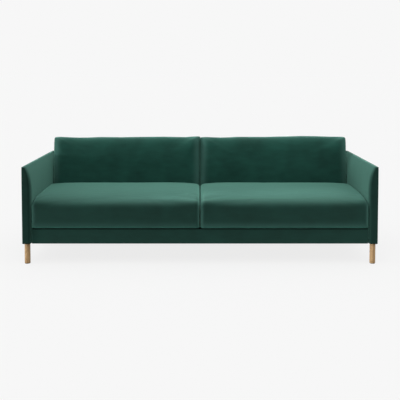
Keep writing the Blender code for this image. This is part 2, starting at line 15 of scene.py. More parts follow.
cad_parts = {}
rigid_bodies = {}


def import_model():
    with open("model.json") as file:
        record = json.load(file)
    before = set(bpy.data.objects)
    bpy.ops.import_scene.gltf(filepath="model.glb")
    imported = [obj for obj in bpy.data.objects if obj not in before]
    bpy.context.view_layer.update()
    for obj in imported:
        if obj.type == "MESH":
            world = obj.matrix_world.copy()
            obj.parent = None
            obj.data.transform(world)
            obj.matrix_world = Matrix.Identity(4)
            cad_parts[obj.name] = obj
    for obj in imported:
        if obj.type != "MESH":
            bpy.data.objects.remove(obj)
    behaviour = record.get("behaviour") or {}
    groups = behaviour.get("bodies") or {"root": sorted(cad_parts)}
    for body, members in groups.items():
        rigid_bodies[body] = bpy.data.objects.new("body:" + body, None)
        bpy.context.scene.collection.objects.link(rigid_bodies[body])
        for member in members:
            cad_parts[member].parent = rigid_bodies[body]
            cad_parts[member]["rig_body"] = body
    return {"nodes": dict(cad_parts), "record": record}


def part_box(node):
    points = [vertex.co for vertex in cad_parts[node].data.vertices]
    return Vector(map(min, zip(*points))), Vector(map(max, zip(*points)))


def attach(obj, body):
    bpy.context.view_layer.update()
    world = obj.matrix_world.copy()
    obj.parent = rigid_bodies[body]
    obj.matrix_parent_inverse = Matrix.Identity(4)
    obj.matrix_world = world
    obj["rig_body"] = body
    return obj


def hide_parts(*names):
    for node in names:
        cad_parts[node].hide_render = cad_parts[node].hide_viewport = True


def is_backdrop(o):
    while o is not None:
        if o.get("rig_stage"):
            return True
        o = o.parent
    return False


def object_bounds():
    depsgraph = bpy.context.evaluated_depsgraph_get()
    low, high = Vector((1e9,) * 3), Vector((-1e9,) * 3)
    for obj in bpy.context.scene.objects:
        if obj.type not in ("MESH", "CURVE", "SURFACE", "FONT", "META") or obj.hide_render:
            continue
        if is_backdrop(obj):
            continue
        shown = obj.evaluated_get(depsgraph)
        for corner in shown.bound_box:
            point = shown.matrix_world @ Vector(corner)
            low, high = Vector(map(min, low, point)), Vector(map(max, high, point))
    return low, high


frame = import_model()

cad_low, cad_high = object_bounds()
scene = bpy.context.scene
scene.view_settings.view_transform = "Standard"
print("frame:", len(frame["nodes"]), "nodes, size", [round(v, 3) for v in cad_high - cad_low])

# %% [markdown]
# ## The camera
# The photograph looks at the sofa square from the front and from above the seat. Its upright edges stay
# nearly parallel, so the camera tilts only a little and the rest of the framing is lens shift.

# %% Set up the camera
CAMERA_DISTANCE = 4.3394
CAMERA_HEIGHT = 1.2773
CAMERA_TILT = math.radians(3.0)
CAMERA_SENSOR, CAMERA_LENS, CAMERA_SHIFT = 36.0, 59.60, -0.2335
camera = bpy.data.objects.new("camera", bpy.data.cameras.new("camera"))
camera.data.sensor_width = CAMERA_SENSOR
camera.data.lens = CAMERA_LENS
camera.data.shift_y = CAMERA_SHIFT
camera.location = (0.0, cad_low.y - CAMERA_DISTANCE, CAMERA_HEIGHT)
camera.rotation_euler = (math.pi / 2 - CAMERA_TILT, 0.0, 0.0)
scene.collection.objects.link(camera)
scene.camera = camera
print("camera:", tuple(round(v, 3) for v in camera.location))

# %% [markdown]
# ## Light and floor
# A studio shot like this one is lit by a big soft dome. A world that is brighter overhead than at the
# horizon does that. A wide sun high in front adds a little direction, and a narrow level sun from the left
# rakes along the fronts, where it catches the velvet's sheen. All of them light an endless floor evenly, so
# floor and backdrop meet without a line. Rays from the camera see plain paper.

# %% Node helpers
def add_node(tree, kind, feeds=None, **settings):
    """Adds one node, sets its own properties and feeds its inputs, by name or number."""
    node = tree.nodes.new(kind)
    for name, value in settings.items():
        setattr(node, name, value)
    for name, value in (feeds or {}).items():
        if isinstance(value, bpy.types.NodeSocket):
            tree.links.new(value, node.inputs[name])
        else:
            node.inputs[name].default_value = value
    return node


def math_node(tree, operation, *values):
    """Adds a Math node. Each value is a socket to link or a plain number."""
    return add_node(tree, "ShaderNodeMath", dict(enumerate(values)), operation=operation).outputs[0]


def seen_rays(tree):
    """A mask of the rays that look at the backdrop instead of lighting with it."""
    path = add_node(tree, "ShaderNodeLightPath").outputs
    looks = math_node(tree, "MAXIMUM", path["Is Camera Ray"], path["Is Glossy Ray"])
    return math_node(tree, "MAXIMUM", looks, path["Is Transmission Ray"])


# %% The dome and two suns
PAPER = 0.93
WHITE, PAPER_COLOUR = (1, 1, 1, 1), (PAPER, PAPER, PAPER, 1)
HORIZON_LIGHT, ZENITH_LIGHT = 0.25, 1.15
world = bpy.data.worlds.new("studio")
scene.world = world
world.use_nodes = True
tree = world.node_tree
tree.nodes.clear()
direction = add_node(tree, "ShaderNodeTexCoord").outputs["Generated"]
height = add_node(tree, "ShaderNodeSeparateXYZ", {0: direction}).outputs["Z"]
rise = {"Value": height, "To Min": HORIZON_LIGHT, "To Max": ZENITH_LIGHT}
strength = add_node(tree, "ShaderNodeMapRange", rise).outputs[0]
dome = add_node(tree, "ShaderNodeBackground", {"Color": WHITE, "Strength": strength}).outputs[0]
paper = add_node(tree, "ShaderNodeBackground", {"Color": PAPER_COLOUR}).outputs[0]
choose = add_node(tree, "ShaderNodeMixShader", {0: seen_rays(tree), 1: dome, 2: paper})
add_node(tree, "ShaderNodeOutputWorld", {0: choose.outputs[0]})

# Each sun's strength, the side it shines from, and its width in degrees
SUNS = {"key": (0.58, (-0.12, -0.60, 1.0), 55), "side": (2.7, (-1.0, -0.15, 0.02), 9)}
# A floor gets two thirds of a light that grows evenly from the horizon up
floor_light = HORIZON_LIGHT + (ZENITH_LIGHT - HORIZON_LIGHT) * 2 / 3
for name, (strength, place, width) in SUNS.items():
    sun = bpy.data.objects.new(name, bpy.data.lights.new(name, "SUN"))
    sun.data.energy = strength
    sun.data.angle = math.radians(width)
    sun.rotation_euler = Vector(place).to_track_quat("Z", "Y").to_euler()
    scene.collection.objects.link(sun)
    floor_light += strength * Vector(place).normalized().z / math.pi
print("light on the floor:", round(floor_light, 3))

# %% The floor
FLOOR_HALF = 200.0
SHADOW_LEFT, FLOOR_BOUNCE = 0.13, 0.36
corners = [(-FLOOR_HALF, -FLOOR_HALF, 0), (FLOOR_HALF, -FLOOR_HALF, 0)]
corners += [(FLOOR_HALF, FLOOR_HALF, 0), (-FLOOR_HALF, FLOOR_HALF, 0)]
floor_mesh = bpy.data.meshes.new("floor")
floor_mesh.from_pydata(corners, [], [(0, 1, 2, 3)])
floor = bpy.data.objects.new("floor", floor_mesh)
scene.collection.objects.link(floor)
floor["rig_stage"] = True
floor_finish = bpy.data.materials.new("paper floor")
floor_finish.use_nodes = True
tree = floor_finish.node_tree
tree.nodes.clear()
bright = {"Value": seen_rays(tree), "To Min": FLOOR_BOUNCE, "To Max": PAPER / floor_light}
tone = add_node(tree, "ShaderNodeMapRange", bright).outputs[0]
lit = add_node(tree, "ShaderNodeBsdfDiffuse", {"Color": tone}).outputs[0]
plain = add_node(tree, "ShaderNodeEmission", {"Color": PAPER_COLOUR}).outputs[0]
seen = math_node(tree, "MULTIPLY", seen_rays(tree), 1 - SHADOW_LEFT)
choose = add_node(tree, "ShaderNodeMixShader", {0: seen, 1: lit, 2: plain})
add_node(tree, "ShaderNodeOutputMaterial", {0: choose.outputs[0]})
floor_mesh.materials.append(floor_finish)
print("floor:", 2 * FLOOR_HALF, "m square, colour", round(PAPER / floor_light, 3))

# %% [markdown]
# ## Velvet
# Velvet is a dense pile of short fibres. Seen square on, light sinks between them and the cloth is
# almost black-green. Seen at a slant, the fibre sides catch the light and it turns pale. The Principled
# shader's sheen does this by itself. A node group adds what the hand leaves in the pile: soft patches and
# strokes where it lies another way, and the fine grit of the fibres. Light and shade are also painted into
# the colour: paler and darker copies of the velvet, and paler rims beside seams and on seat tops.

# %% A group for the pile
def new_group(name, sizes, outputs):
    """Starts a shader group with a vector and named sizes, and returns it with its two end nodes."""
    group = bpy.data.node_groups.new(name, "ShaderNodeTree")
    group.interface.new_socket("Vector", in_out="INPUT", socket_type="NodeSocketVector")
    for label, value in sizes.items():
        socket = group.interface.new_socket(label, in_out="INPUT", socket_type="NodeSocketFloat")
        socket.default_value = value
    for label in outputs:
        group.interface.new_socket(label, in_out="OUTPUT", socket_type="NodeSocketFloat")
    return group, add_node(group, "NodeGroupInput"), add_node(group, "NodeGroupOutput")


def noise_of(group, vector, size, stretch=(1, 1, 1), detail=2.0, twist=0.0):
    """Noise whose features are about size metres across, drawn out by stretch."""
    drawn = add_node(group, "ShaderNodeVectorMath", {0: vector, 1: stretch}, operation="MULTIPLY")
    feeds = {"Vector": drawn.outputs[0], "Scale": math_node(group, "DIVIDE", 1.0, size)}
    feeds |= {"Detail": detail, "Distortion": twist}
    return add_node(group, "ShaderNodeTexNoise", feeds).outputs["Fac"]


def weigh(group, parts):
    """The sum of several masks, each times its weight."""
    total = 0.0
    for mask, weight in parts:
        total = math_node(group, "MULTIPLY_ADD", mask, weight, total)
    return total


PILE_SIZES = {"Patch size": 0.16, "Stroke size": 0.03, "Fibre size": 0.0012}
pile, pile_in, pile_out = new_group("velvet pile", PILE_SIZES, ["Shade", "Height"])
place = pile_in.outputs["Vector"]
patches = noise_of(pile, place, pile_in.outputs["Patch size"], detail=1.0, twist=0.4)
strokes = noise_of(pile, place, pile_in.outputs["Stroke size"], stretch=(0.35, 1, 1), detail=3.0)
fibres = noise_of(pile, place, pile_in.outputs["Fibre size"], detail=1.0)
pile.links.new(weigh(pile, [(patches, 0.5), (strokes, 0.3), (fibres, 0.2)]), pile_out.inputs["Shade"])
pile.links.new(weigh(pile, [(fibres, 1.0), (strokes, 7.0)]), pile_out.inputs["Height"])
print("group:", pile.name, len(pile.nodes), "nodes")

# %% The velvet itself
VELVET_DEEP = (0.0018, 0.0150, 0.0108)
VELVET_PALE = (0.0048, 0.0315, 0.0235)
# The pale tone of painted light: painted sheen beside seams and light on the seat tops.
VELVET_PAINTED_LIGHT = (0.043, 0.118, 0.099, 1)
VELVET_SHEEN = (0.36, 0.86, 0.70, 1)
VELVET_RELIEF = 0.00012
MIX_LOW, MIX_HIGH, MIX_COLOUR = 6, 7, 2  # the colour sockets of a Mix node


def use_group(tree, group, vector, **sizes):
    """Places a shader group in a material with its own sizes."""
    feeds = {name.replace("_", " ").capitalize(): size for name, size in sizes.items()}
    return add_node(tree, "ShaderNodeGroup", {"Vector": vector, **feeds}, node_tree=group)


def on_piece(tree):
    """Coordinates that stay with the piece when it moves."""
    return add_node(tree, "ShaderNodeTexCoord").outputs["Object"]


def new_finish(name, roughness, specular=0.5, metallic=0.0):
    """A material with one Principled shader, and its tree."""
    finish = bpy.data.materials.new(name)
    finish.use_nodes = True
    shader = finish.node_tree.nodes["Principled BSDF"]
    shader.inputs["Roughness"].default_value = roughness
    shader.inputs["Specular IOR Level"].default_value = specular
    shader.inputs["Metallic"].default_value = metallic
    return finish, finish.node_tree, shader


def colour_between(tree, mask, low, high, shader):
    """Base colour from one tone to another, by a mask. The low tone may be another mix's output."""
    feeds = {"Factor": mask, MIX_LOW: low, MIX_HIGH: high}
    mix = add_node(tree, "ShaderNodeMix", feeds, data_type="RGBA")
    tree.links.new(mix.outputs[MIX_COLOUR], shader.inputs["Base Color"])
    return mix.outputs[MIX_COLOUR]


def spread(tree, mask, low, high, to_low=0.0, to_high=1.0):
    """Stretches the middle of a mask over a new range."""
    feeds = {"Value": mask, "From Min": low, "From Max": high, "To Min": to_low, "To Max": to_high}
    return add_node(tree, "ShaderNodeMapRange", feeds).outputs[0]


def emboss(tree, height, depth, shader):
    """Bump that is depth metres high where the mask is 1."""
    bump = add_node(tree, "ShaderNodeBump", {"Strength": 1.0, "Distance": depth, "Height": height})
    tree.links.new(bump.outputs[0], shader.inputs["Normal"])


def velvet_finish(name, lift, sheen):
    """A copy of the velvet with its own sheen, made paler or darker by lift to paint light and shade."""
    finish, tree, shader = new_finish(name, roughness=0.9, specular=0.12)
    shader.inputs["Sheen Weight"].default_value = sheen
    shader.inputs["Sheen Roughness"].default_value = 0.50
    shader.inputs["Sheen Tint"].default_value = VELVET_SHEEN
    nap = use_group(tree, pile, on_piece(tree), patch_size=0.17, stroke_size=0.030, fibre_size=0.0009)
    tones = [(*(lift * v for v in tone), 1) for tone in (VELVET_DEEP, VELVET_PALE)]
    shade = spread(tree, nap.outputs["Shade"], low=0.30, high=0.70)
    upright = colour_between(tree, shade, *tones, shader)
    # An attribute of painted light brings the base colour towards a pale tone.
    splay = add_node(tree, "ShaderNodeAttribute", attribute_name="splay").outputs["Fac"]
    colour_between(tree, splay, upright, VELVET_PAINTED_LIGHT, shader)
    emboss(tree, nap.outputs["Height"], VELVET_RELIEF, shader)
    return finish


velvet = velvet_finish("green velvet", lift=1.0, sheen=1.0)
# A paler copy on the back cushions: painted light.
lit_back_velvet = velvet_finish("green velvet back cushions", lift=2.1, sheen=0.70)
# A darker copy with less sheen on the arms, the back and the back cushions' arm seams: painted shade.
shaded_arm_velvet = velvet_finish("green velvet arms", lift=0.80, sheen=0.66)
# Dark seam thread, also painted shade in the creases, the middle gaps and along lower edges.
seam_and_shade_velvet = velvet_finish("green velvet seams", lift=0.45, sheen=0.12)
# A paler copy on the welts and the seats' arm seams: painted highlight.
highlight_velvet = velvet_finish("green velvet welts", lift=2.6, sheen=1.0)
# Dark underside cloth, also painted shade in the gap under the seats' fronts.
lining_and_shade = velvet_finish("dark lining cloth", lift=0.35, sheen=0.0)
print("finishes:", [m.name for m in (velvet, lit_back_velvet, shaded_arm_velvet, seam_and_shade_velvet, highlight_velvet, lining_and_shade)])

# %% [markdown]
# ## Wood
# The legs are turned oak, the frame is plywood and softwood, and the slats are birch. One group draws all
# of them: growth bands and fibres stretched along the grain, and short dark pores. Each material turns its
# coordinates first, so the grain runs along the piece.

# %% A group for the grain
RINGS_PER_BAND = 40.0
GRAIN_SIZES = {"Band size": 0.02, "Fibre size": 0.002, "Pore size": 0.0009}
grain, grain_in, grain_out = new_group("timber grain", GRAIN_SIZES, ["Shade", "Pores", "Height"])
place = grain_in.outputs["Vector"]
bands = noise_of(grain, place, grain_in.outputs["Band size"], stretch=(1, 1, 0.08), detail=2.0, twist=0.8)
waves = math_node(grain, "SINE", math_node(grain, "MULTIPLY", bands, RINGS_PER_BAND))
rings = math_node(grain, "MULTIPLY_ADD", waves, 0.5, 0.5)
long_fibres = noise_of(grain, place, grain_in.outputs["Fibre size"], stretch=(1, 1, 0.03), detail=4.0)
pore_field = noise_of(grain, place, grain_in.outputs["Pore size"], stretch=(1, 1, 0.07), detail=1.0)
pores = spread(grain, pore_field, low=0.60, high=0.70)
shade = weigh(grain, [(rings, 0.45), (long_fibres, 0.55)])
grain.links.new(shade, grain_out.inputs["Shade"])
grain.links.new(pores, grain_out.inputs["Pores"])
grain.links.new(weigh(grain, [(shade, 0.4), (pores, -1.0)]), grain_out.inputs["Height"])
print("group:", grain.name, len(grain.nodes), "nodes")

# %% Oak, plywood, birch
ALONG = {"X": (0.0, math.pi / 2, 0.0), "Y": (math.pi / 2, 0.0, 0.0), "Z": (0.0, 0.0, 0.0)}


def wood_finish(name, along, dark, pale, roughness, band_size, pore_depth):
    """A wood with its grain along one axis of the sofa."""
    finish, tree, shader = new_finish(name, roughness, specular=0.35)
    turn = {"Vector": on_piece(tree), "Rotation": ALONG[along]}
    turned = add_node(tree, "ShaderNodeMapping", turn).outputs[0]
    wood = use_group(tree, grain, turned, band_size=band_size, fibre_size=0.0022, pore_size=0.0011)
    tone = math_node(tree, "SUBTRACT", wood.outputs["Shade"], wood.outputs["Pores"])
    colour_between(tree, spread(tree, tone, low=0.05, high=0.80), dark, pale, shader)
    gloss = spread(tree, wood.outputs["Shade"], 0.2, 0.8, roughness + 0.08, roughness - 0.06)
    tree.links.new(gloss, shader.inputs["Roughness"])
    emboss(tree, wood.outputs["Height"], pore_depth, shader)
    return finish


OAK = {"dark": (0.36, 0.205, 0.088, 1), "pale": (0.63, 0.415, 0.205, 1)}
OAK |= {"roughness": 0.45, "band_size": 0.030, "pore_depth": 0.00025}
PLY = {"dark": (0.36, 0.245, 0.135, 1), "pale": (0.58, 0.43, 0.27, 1)}
PLY |= {"roughness": 0.62, "band_size": 0.045, "pore_depth": 0.0003}
BIRCH = {"dark": (0.48, 0.34, 0.20, 1), "pale": (0.68, 0.53, 0.35, 1)}
BIRCH |= {"roughness": 0.50, "band_size": 0.040, "pore_depth": 0.0002}
oak_upright = wood_finish("oak legs", "Z", **OAK)
oak_lying = wood_finish("oak folding legs", "X", **OAK)
ply_cross = wood_finish("frame timber across", "X", **PLY)
ply_side = wood_finish("frame timber along", "Y", **PLY)
birch = wood_finish("birch slats", "Y", **BIRCH)
print("woods:", [m.name for m in (oak_upright, oak_lying, ply_cross, ply_side, birch)])

# %% [markdown]
# ## Steel and nylon
# The channels, brackets, pins and bolts are zinc-plated steel: grey, slightly cloudy, with faint rolling
# marks. Rollers and glides are moulded nylon with a fine matt grain. A second small group gives both
# their cloudiness.

# %% A group for cloudy surfaces
CLOUD_SIZES = {"Cloud size": 0.02, "Grit size": 0.001}
cloud, cloud_in, cloud_out = new_group("cloudy surface", CLOUD_SIZES, ["Shade", "Height"])
place = cloud_in.outputs["Vector"]
haze = noise_of(cloud, place, cloud_in.outputs["Cloud size"], detail=3.0, twist=0.5)
grit = noise_of(cloud, place, cloud_in.outputs["Grit size"], stretch=(1, 0.2, 1), detail=2.0)
cloud.links.new(weigh(cloud, [(haze, 0.7), (grit, 0.3)]), cloud_out.inputs["Shade"])
cloud.links.new(weigh(cloud, [(grit, 1.0)]), cloud_out.inputs["Height"])


def cloudy_finish(name, dark, pale, roughness, metallic, cloud_size, depth):
    """Metal or plastic with a cloudy tone and a fine grit."""
    finish, tree, shader = new_finish(name, roughness, metallic=metallic)
    surface = use_group(tree, cloud, on_piece(tree), cloud_size=cloud_size, grit_size=0.0012)
    shade = surface.outputs["Shade"]
    colour_between(tree, spread(tree, shade, low=0.3, high=0.7), dark, pale, shader)
    gloss = spread(tree, shade, 0.3, 0.7, roughness + 0.1, roughness - 0.08)
    tree.links.new(gloss, shader.inputs["Roughness"])
    emboss(tree, surface.outputs["Height"], depth, shader)
    return finish


ZINC = {"dark": (0.40, 0.41, 0.43, 1), "pale": (0.60, 0.61, 0.62, 1)}
ZINC |= {"roughness": 0.36, "metallic": 1.0, "cloud_size": 0.015, "depth": 0.00004}
BLACK = {"dark": (0.016, 0.016, 0.017, 1), "pale": (0.035, 0.035, 0.036, 1)}
BLACK |= {"roughness": 0.50, "metallic": 0.0, "cloud_size": 0.02, "depth": 0.00006}
steel = cloudy_finish("zinc plated steel", **ZINC)
nylon = cloudy_finish("black nylon", **BLACK)
print("finishes:", steel.name, "and", nylon.name)

# %% Finishes on the frame's own pieces
slot_of = {row["node"]: row["material_slot"] for row in frame["record"]["subparts"]}
by_slot = {"velvet": velvet, "oak": oak_lying, "frame_timber": ply_cross}
by_slot.update({"slat_wood": birch, "steel": steel, "nylon": nylon})
for name, piece in frame["nodes"].items():
    chosen = ply_side if name.endswith("arm_frame") else by_slot[slot_of[name]]
    for holder in piece.material_slots:
        holder.material = chosen
print("finished frame pieces:", len(slot_of))

# %% [markdown]
# ## Cushion forms
# A cushion starts as a ring of points, its side view, repeated along the seat from end to end. Near each
# end the ring shrinks, which rounds the edge, and the two end panels are filled with a grid. Every quad is
# about a centimetre across, so cloth can bend anywhere, and the sewn rows are known by their numbers.

# %% Rings into a closed form
CELL = 0.011
CAP_BULGE, CAP_POWER = 0.0022, 0.3
EDGE_STEPS, EDGE_ROUND, EDGE_POWER = 8, 0.75, 1.7


def even_steps(path, count):
    """Resamples an open path of points to count equal steps."""
    path = np.asarray(path, float)
    along = np.concatenate([[0.0], np.cumsum(np.linalg.norm(np.diff(path, axis=0), axis=1))])
    places = np.linspace(0.0, along[-1], count + 1)
    return np.stack([np.interp(places, along, path[:, axis]) for axis in range(path.shape[1])], axis=1)


def soften(loop, times):
    """Rounds the corners of a closed loop a little."""
    for _ in range(times):
        loop = (np.roll(loop, 1, axis=0) + 2 * loop + np.roll(loop, -1, axis=0)) / 4
    return loop


def fill_grid(loop, rows, columns):
    """Points inside a loop: columns run from front to rear, rows from bottom to top."""
    front = loop[: rows + 1]
    top = loop[rows : rows + columns + 1]
    rear = loop[rows + columns : 2 * rows + columns + 1][::-1]
    foot = np.concatenate([loop[2 * rows + columns :], loop[:1]])[::-1]
    a = np.linspace(0, 1, columns + 1)[:, None, None]
    b = np.linspace(0, 1, rows + 1)[None, :, None]
    sides = (1 - a) * front[None] + a * rear[None] + (1 - b) * foot[:, None] + b * top[:, None]
    knots = (1 - a) * ((1 - b) * front[0] + b * front[-1]) + a * ((1 - b) * rear[0] + b * rear[-1])
    return sides - knots


def loop_number(column, row, rows, columns):
    """The number on the loop of a grid point that lies on the edge of an end panel."""
    if column == 0:
        return row
    if row == rows:
        return rows + column
    if column == columns:
        return rows + columns + rows - row
    return (2 * rows + columns + columns - column) % (2 * rows + 2 * columns)


def edge_tuck(turn):
    """How far a ring is drawn in: 1 at the end seam, 0 where the rounded edge runs out."""
    return EDGE_ROUND * (1 - math.sin(turn)) + (1 - EDGE_ROUND) * math.cos(turn) ** EDGE_POWER


def cushion_form(low_x, high_x, ring_at, rows, columns, edge):
    """Points, quads and seam numbers of a closed cushion. ring_at(share, tuck) is its side view."""
    turns = [math.pi / 2 * i / EDGE_STEPS for i in range(EDGE_STEPS + 1)]
    ends = [(edge * (1 - math.cos(turn)), edge_tuck(turn)) for turn in turns]
    span = high_x - low_x
    count = round((span - 2 * edge) / CELL)
    inner = [(edge + (span - 2 * edge) * i / count, 0.0) for i in range(1, count)]
    stations = ends + inner + [(span - off, tuck) for off, tuck in reversed(ends)]
    around = 2 * (rows + columns)
    points, quads, caps = [], [], []
    for off, tuck in stations:
        loop = ring_at(off / span, tuck)
        points += [(low_x + off, y, z) for y, z in loop]
        if off in (0.0, span):
            caps.append((len(points) - around, low_x + off, loop))
    for i in range(len(stations) - 1):
        for t in range(around):
            here, after = i * around + t, i * around + (t + 1) % around
            quads.append((here, here + around, after + around, after))
    for number, (start, x, loop) in enumerate(caps):
        grid = fill_grid(loop, rows, columns)
        outwards = CAP_BULGE * (1 if number else -1)
        index = {}
        for column in range(columns + 1):
            for row in range(rows + 1):
                if 0 < column < columns and 0 < row < rows:
                    index[column, row] = len(points)
                    dome = math.sin(math.pi * column / columns) * math.sin(math.pi * row / rows)
                    points.append((x + outwards * dome**CAP_POWER, *grid[column, row]))
                else:
                    index[column, row] = start + loop_number(column, row, rows, columns)
        for column in range(columns):
            for row in range(rows):
                corner = [(column, row), (column, row + 1), (column + 1, row + 1), (column + 1, row)]
                quad = [index[c] for c in corner]
                quads.append(quad if number == 0 else quad[::-1])
    seams = [[start + t for t in range(around)] for start, _, _ in caps]
    return np.array(points), quads, seams


# %% Pieces from points
def make_piece(name, points, quads, finish):
    """A smooth mesh object at the origin."""
    mesh = bpy.data.meshes.new(name)
    mesh.from_pydata([tuple(p) for p in points], [], [tuple(q) for q in quads])
    mesh.materials.append(finish)
    mesh.shade_smooth()
    piece = bpy.data.objects.new(name, mesh)
    scene.collection.objects.link(piece)
    return piece


def paint_faces(piece, finish, chosen):
    """Gives the faces that chosen() picks another finish."""
    piece.data.materials.append(finish)
    for face in piece.data.polygons:
        if chosen(face):
            face.material_index = len(piece.data.materials) - 1


def read_points(mesh, field="co"):
    """All of a mesh's points, or their normals, as an array."""
    flat = np.empty(len(mesh.vertices) * 3, np.float32)
    mesh.vertices.foreach_get(field, flat)
    return flat.reshape(-1, 3).astype(float)


def write_points(mesh, points):
    """Puts a mesh's points in new places."""
    mesh.vertices.foreach_set("co", points.astype(np.float32).ravel())
    mesh.update()


def settle(piece):
    """Turns a piece with modifiers into a plain mesh."""
    graph = bpy.context.evaluated_depsgraph_get()
    mesh = bpy.data.meshes.new_from_object(piece.evaluated_get(graph), depsgraph=graph)
    piece.modifiers.clear()
    before, piece.data = piece.data, mesh
    bpy.data.meshes.remove(before)
    mesh.name = piece.name
    return piece


def subdivide(piece):
    """Splits every face in four and rounds the result."""
    step = piece.modifiers.new("finer", "SUBSURF")
    step.levels = step.render_levels = 1
    return settle(piece)


# %% [markdown]
# ## Puffing with cloth
# Foam pushes its cover outwards and the seams hold it back. Blender's Cloth does the same with pressure
# inside a mesh whose sewn rows are pinned. Twenty steps are enough, a cap keeps the swelling within what foam
# does, and the result replaces the mesh, so no simulation is left on the piece.

# %% Inflate a cover
PUFF_STEPS, TINY = 20, 1e-9
CLOTH = {"quality": 5, "mass": 0.35, "tension_stiffness": 25, "compression_stiffness": 25}
CLOTH |= {"shear_stiffness": 12, "bending_stiffness": 3.0, "use_pressure": True}


def puff(piece, pinned, pressure, cap, share):
    """Swells a cover between its pinned rows, keeps a share of that, and returns how far points moved."""
    start = read_points(piece.data)
    held = piece.vertex_groups.new(name="sewn")
    held.add([int(v) for v in pinned], 1.0, "REPLACE")
    cloth = piece.modifiers.new("puff", "CLOTH")
    rules = {**CLOTH, "vertex_group_mass": held.name, "uniform_pressure_force": pressure}
    for name, value in rules.items():
        setattr(cloth.settings, name, value)
    cloth.settings.effector_weights.gravity = 0.0
    cloth.point_cache.frame_start, cloth.point_cache.frame_end = 1, PUFF_STEPS
    for number in range(1, PUFF_STEPS + 1):
        scene.frame_set(number)
    graph = bpy.context.evaluated_depsgraph_get()
    swollen = read_points(piece.evaluated_get(graph).data)
    piece.modifiers.clear()
    piece.vertex_groups.clear()
    scene.frame_set(1)
    moved = swollen - start
    size = np.linalg.norm(moved, axis=1, keepdims=True)
    write_points(piece.data, start + share * moved * np.minimum(1.0, cap / np.maximum(size, TINY)))
    return float(share * min(cap, size.max()))


# %% Sew a cover
PUCKERS_PER_METRE, PUCKER_REACH, PUCKER_START = 34, 0.05, 0.008


def distances(points, seam_points):
    """How far each point lies from the nearest point of the seams."""
    tree = kdtree.KDTree(len(seam_points))
    for number, point in enumerate(seam_points):
        tree.insert(point, number)
    tree.balance()
    return np.array([tree.find(p)[2] for p in points])


def sew(piece, seam_points, depth, width, pucker):
    """Sinks the cloth along its seams, with small puckers that die away from them."""
    points, normals = read_points(piece.data), read_points(piece.data, "normal")
    away = distances(points, seam_points)
    ripple = np.array([noise.noise(Vector(p * PUCKERS_PER_METRE)) for p in points])
    lift = pucker * ripple * np.exp(-away / PUCKER_REACH) * (1 - np.exp(-away / PUCKER_START))
    lift -= depth * np.exp(-((away / width) ** 2))
    write_points(piece.data, points + normals * lift[:, None])


def keep_within(piece, ends, low_z):
    """Puts points that swelling or sewing pushed past a cushion's ends or foot back in line."""
    points = read_points(piece.data)
    points[:, 0] = np.clip(points[:, 0], *ends)
    points[:, 2] = np.maximum(points[:, 2], low_z)
    write_points(piece.data, points)


# %% Paint light into the velvet's colour
LEVEL_FROM, LEVEL_SPAN = 0.88, 0.10
LEAST_FORWARD = 0.1


def mark_painted_light(piece, splay):
    """Keeps the larger of the old and new painted light at each point, for the velvet to read."""
    kept = piece.data.attributes.get("splay") or piece.data.attributes.new("splay", "FLOAT", "POINT")
    before = np.empty(len(splay), np.float32)
    kept.data.foreach_get("value", before)
    kept.data.foreach_set("value", np.maximum(before, splay).astype(np.float32))


def paint_top_light(piece, middle, reach, most):
    """Paints light into a seat's top: palest at the middle given, fading over its reach."""
    points, normals = read_points(piece.data), read_points(piece.data, "normal")
    upward = np.clip((normals[:, 2] - LEVEL_FROM) / LEVEL_SPAN, 0.0, 1.0)
    mark_painted_light(piece, most * upward * np.exp(-(((points[:, 0] - middle) / reach) ** 2)))


def paint_sheen(piece, seam_points, peak, width, most):
    """Paints sheen into the colour: paler on the front, a little beside the sewn rows."""
    away = distances(read_points(piece.data), seam_points)
    forward = np.clip(-read_points(piece.data, "normal")[:, 1], LEAST_FORWARD, 1.0)
    mark_painted_light(piece, most * np.exp(-(((away - peak) / width) ** 2)) * forward)


# %% [markdown]
# ## Seat cushions
# Each seat cushion is foam in a box cover. Its face stands upright, a few millimetres proud of the rail, then
# rolls over into a long soft top that is highest near the back and sinks towards both ends. The cover starts
# a few millimetres small, because it swells.

# %% The side view of a seat cushion
SEAT_FACE = 0.138
FOOT_BACK, FOOT_UP = 0.0090, 0.0095
SEAT_REAR_ROLL, SEAT_HEEL, SEAT_UNDERCUT = 0.045, 0.175, 0.013
SEAT_REAR_POWER = 2.2
SEAT_ROWS, SEAT_COLUMNS = 14, 60
SEAT_START_SMALL = 0.004
SEAT_HEEL_TURN, FOOT_FLAT = 0.05, 0.002
TOP_SAMPLES, REAR_SAMPLES = 200, 80


def seat_loop(depth, height, power):
    """A seat cushion's side view: up the face, over the top, down the rear, back along the foot."""
    crest = depth - SEAT_REAR_ROLL
    y = crest * (1 - np.cos(np.linspace(0, math.pi / 2, TOP_SAMPLES)))
    front = SEAT_FACE + (height - SEAT_FACE) * (1 - (1 - y / crest) ** power) ** (1 / power)
    back = np.linspace(0, 1, REAR_SAMPLES)[1:]
    fall = SEAT_HEEL + (height - SEAT_HEEL) * (1 - back**SEAT_REAR_POWER) ** (1 / SEAT_REAR_POWER)
    top = np.concatenate([np.stack([y, front], 1), np.stack([crest + SEAT_REAR_ROLL * back, fall], 1)])
    heel = depth - SEAT_UNDERCUT
    face = even_steps([(0, FOOT_UP), (0, SEAT_FACE)], SEAT_ROWS)
    rear = even_steps([(depth, SEAT_HEEL), (heel, SEAT_HEEL - SEAT_HEEL_TURN), (heel, 0)], SEAT_ROWS)
    foot = even_steps([(heel, 0), (FOOT_BACK + FOOT_FLAT, 0)], SEAT_COLUMNS - 2)
    loop = np.concatenate([face[:-1], even_steps(top, SEAT_COLUMNS)[:-1], rear[:-1], foot, [(FOOT_BACK, 0)]])
    smooth = soften(loop, 2)
    sharp = [0, 1, -1, -2, -3]
    smooth[sharp] = loop[sharp]
    return smooth


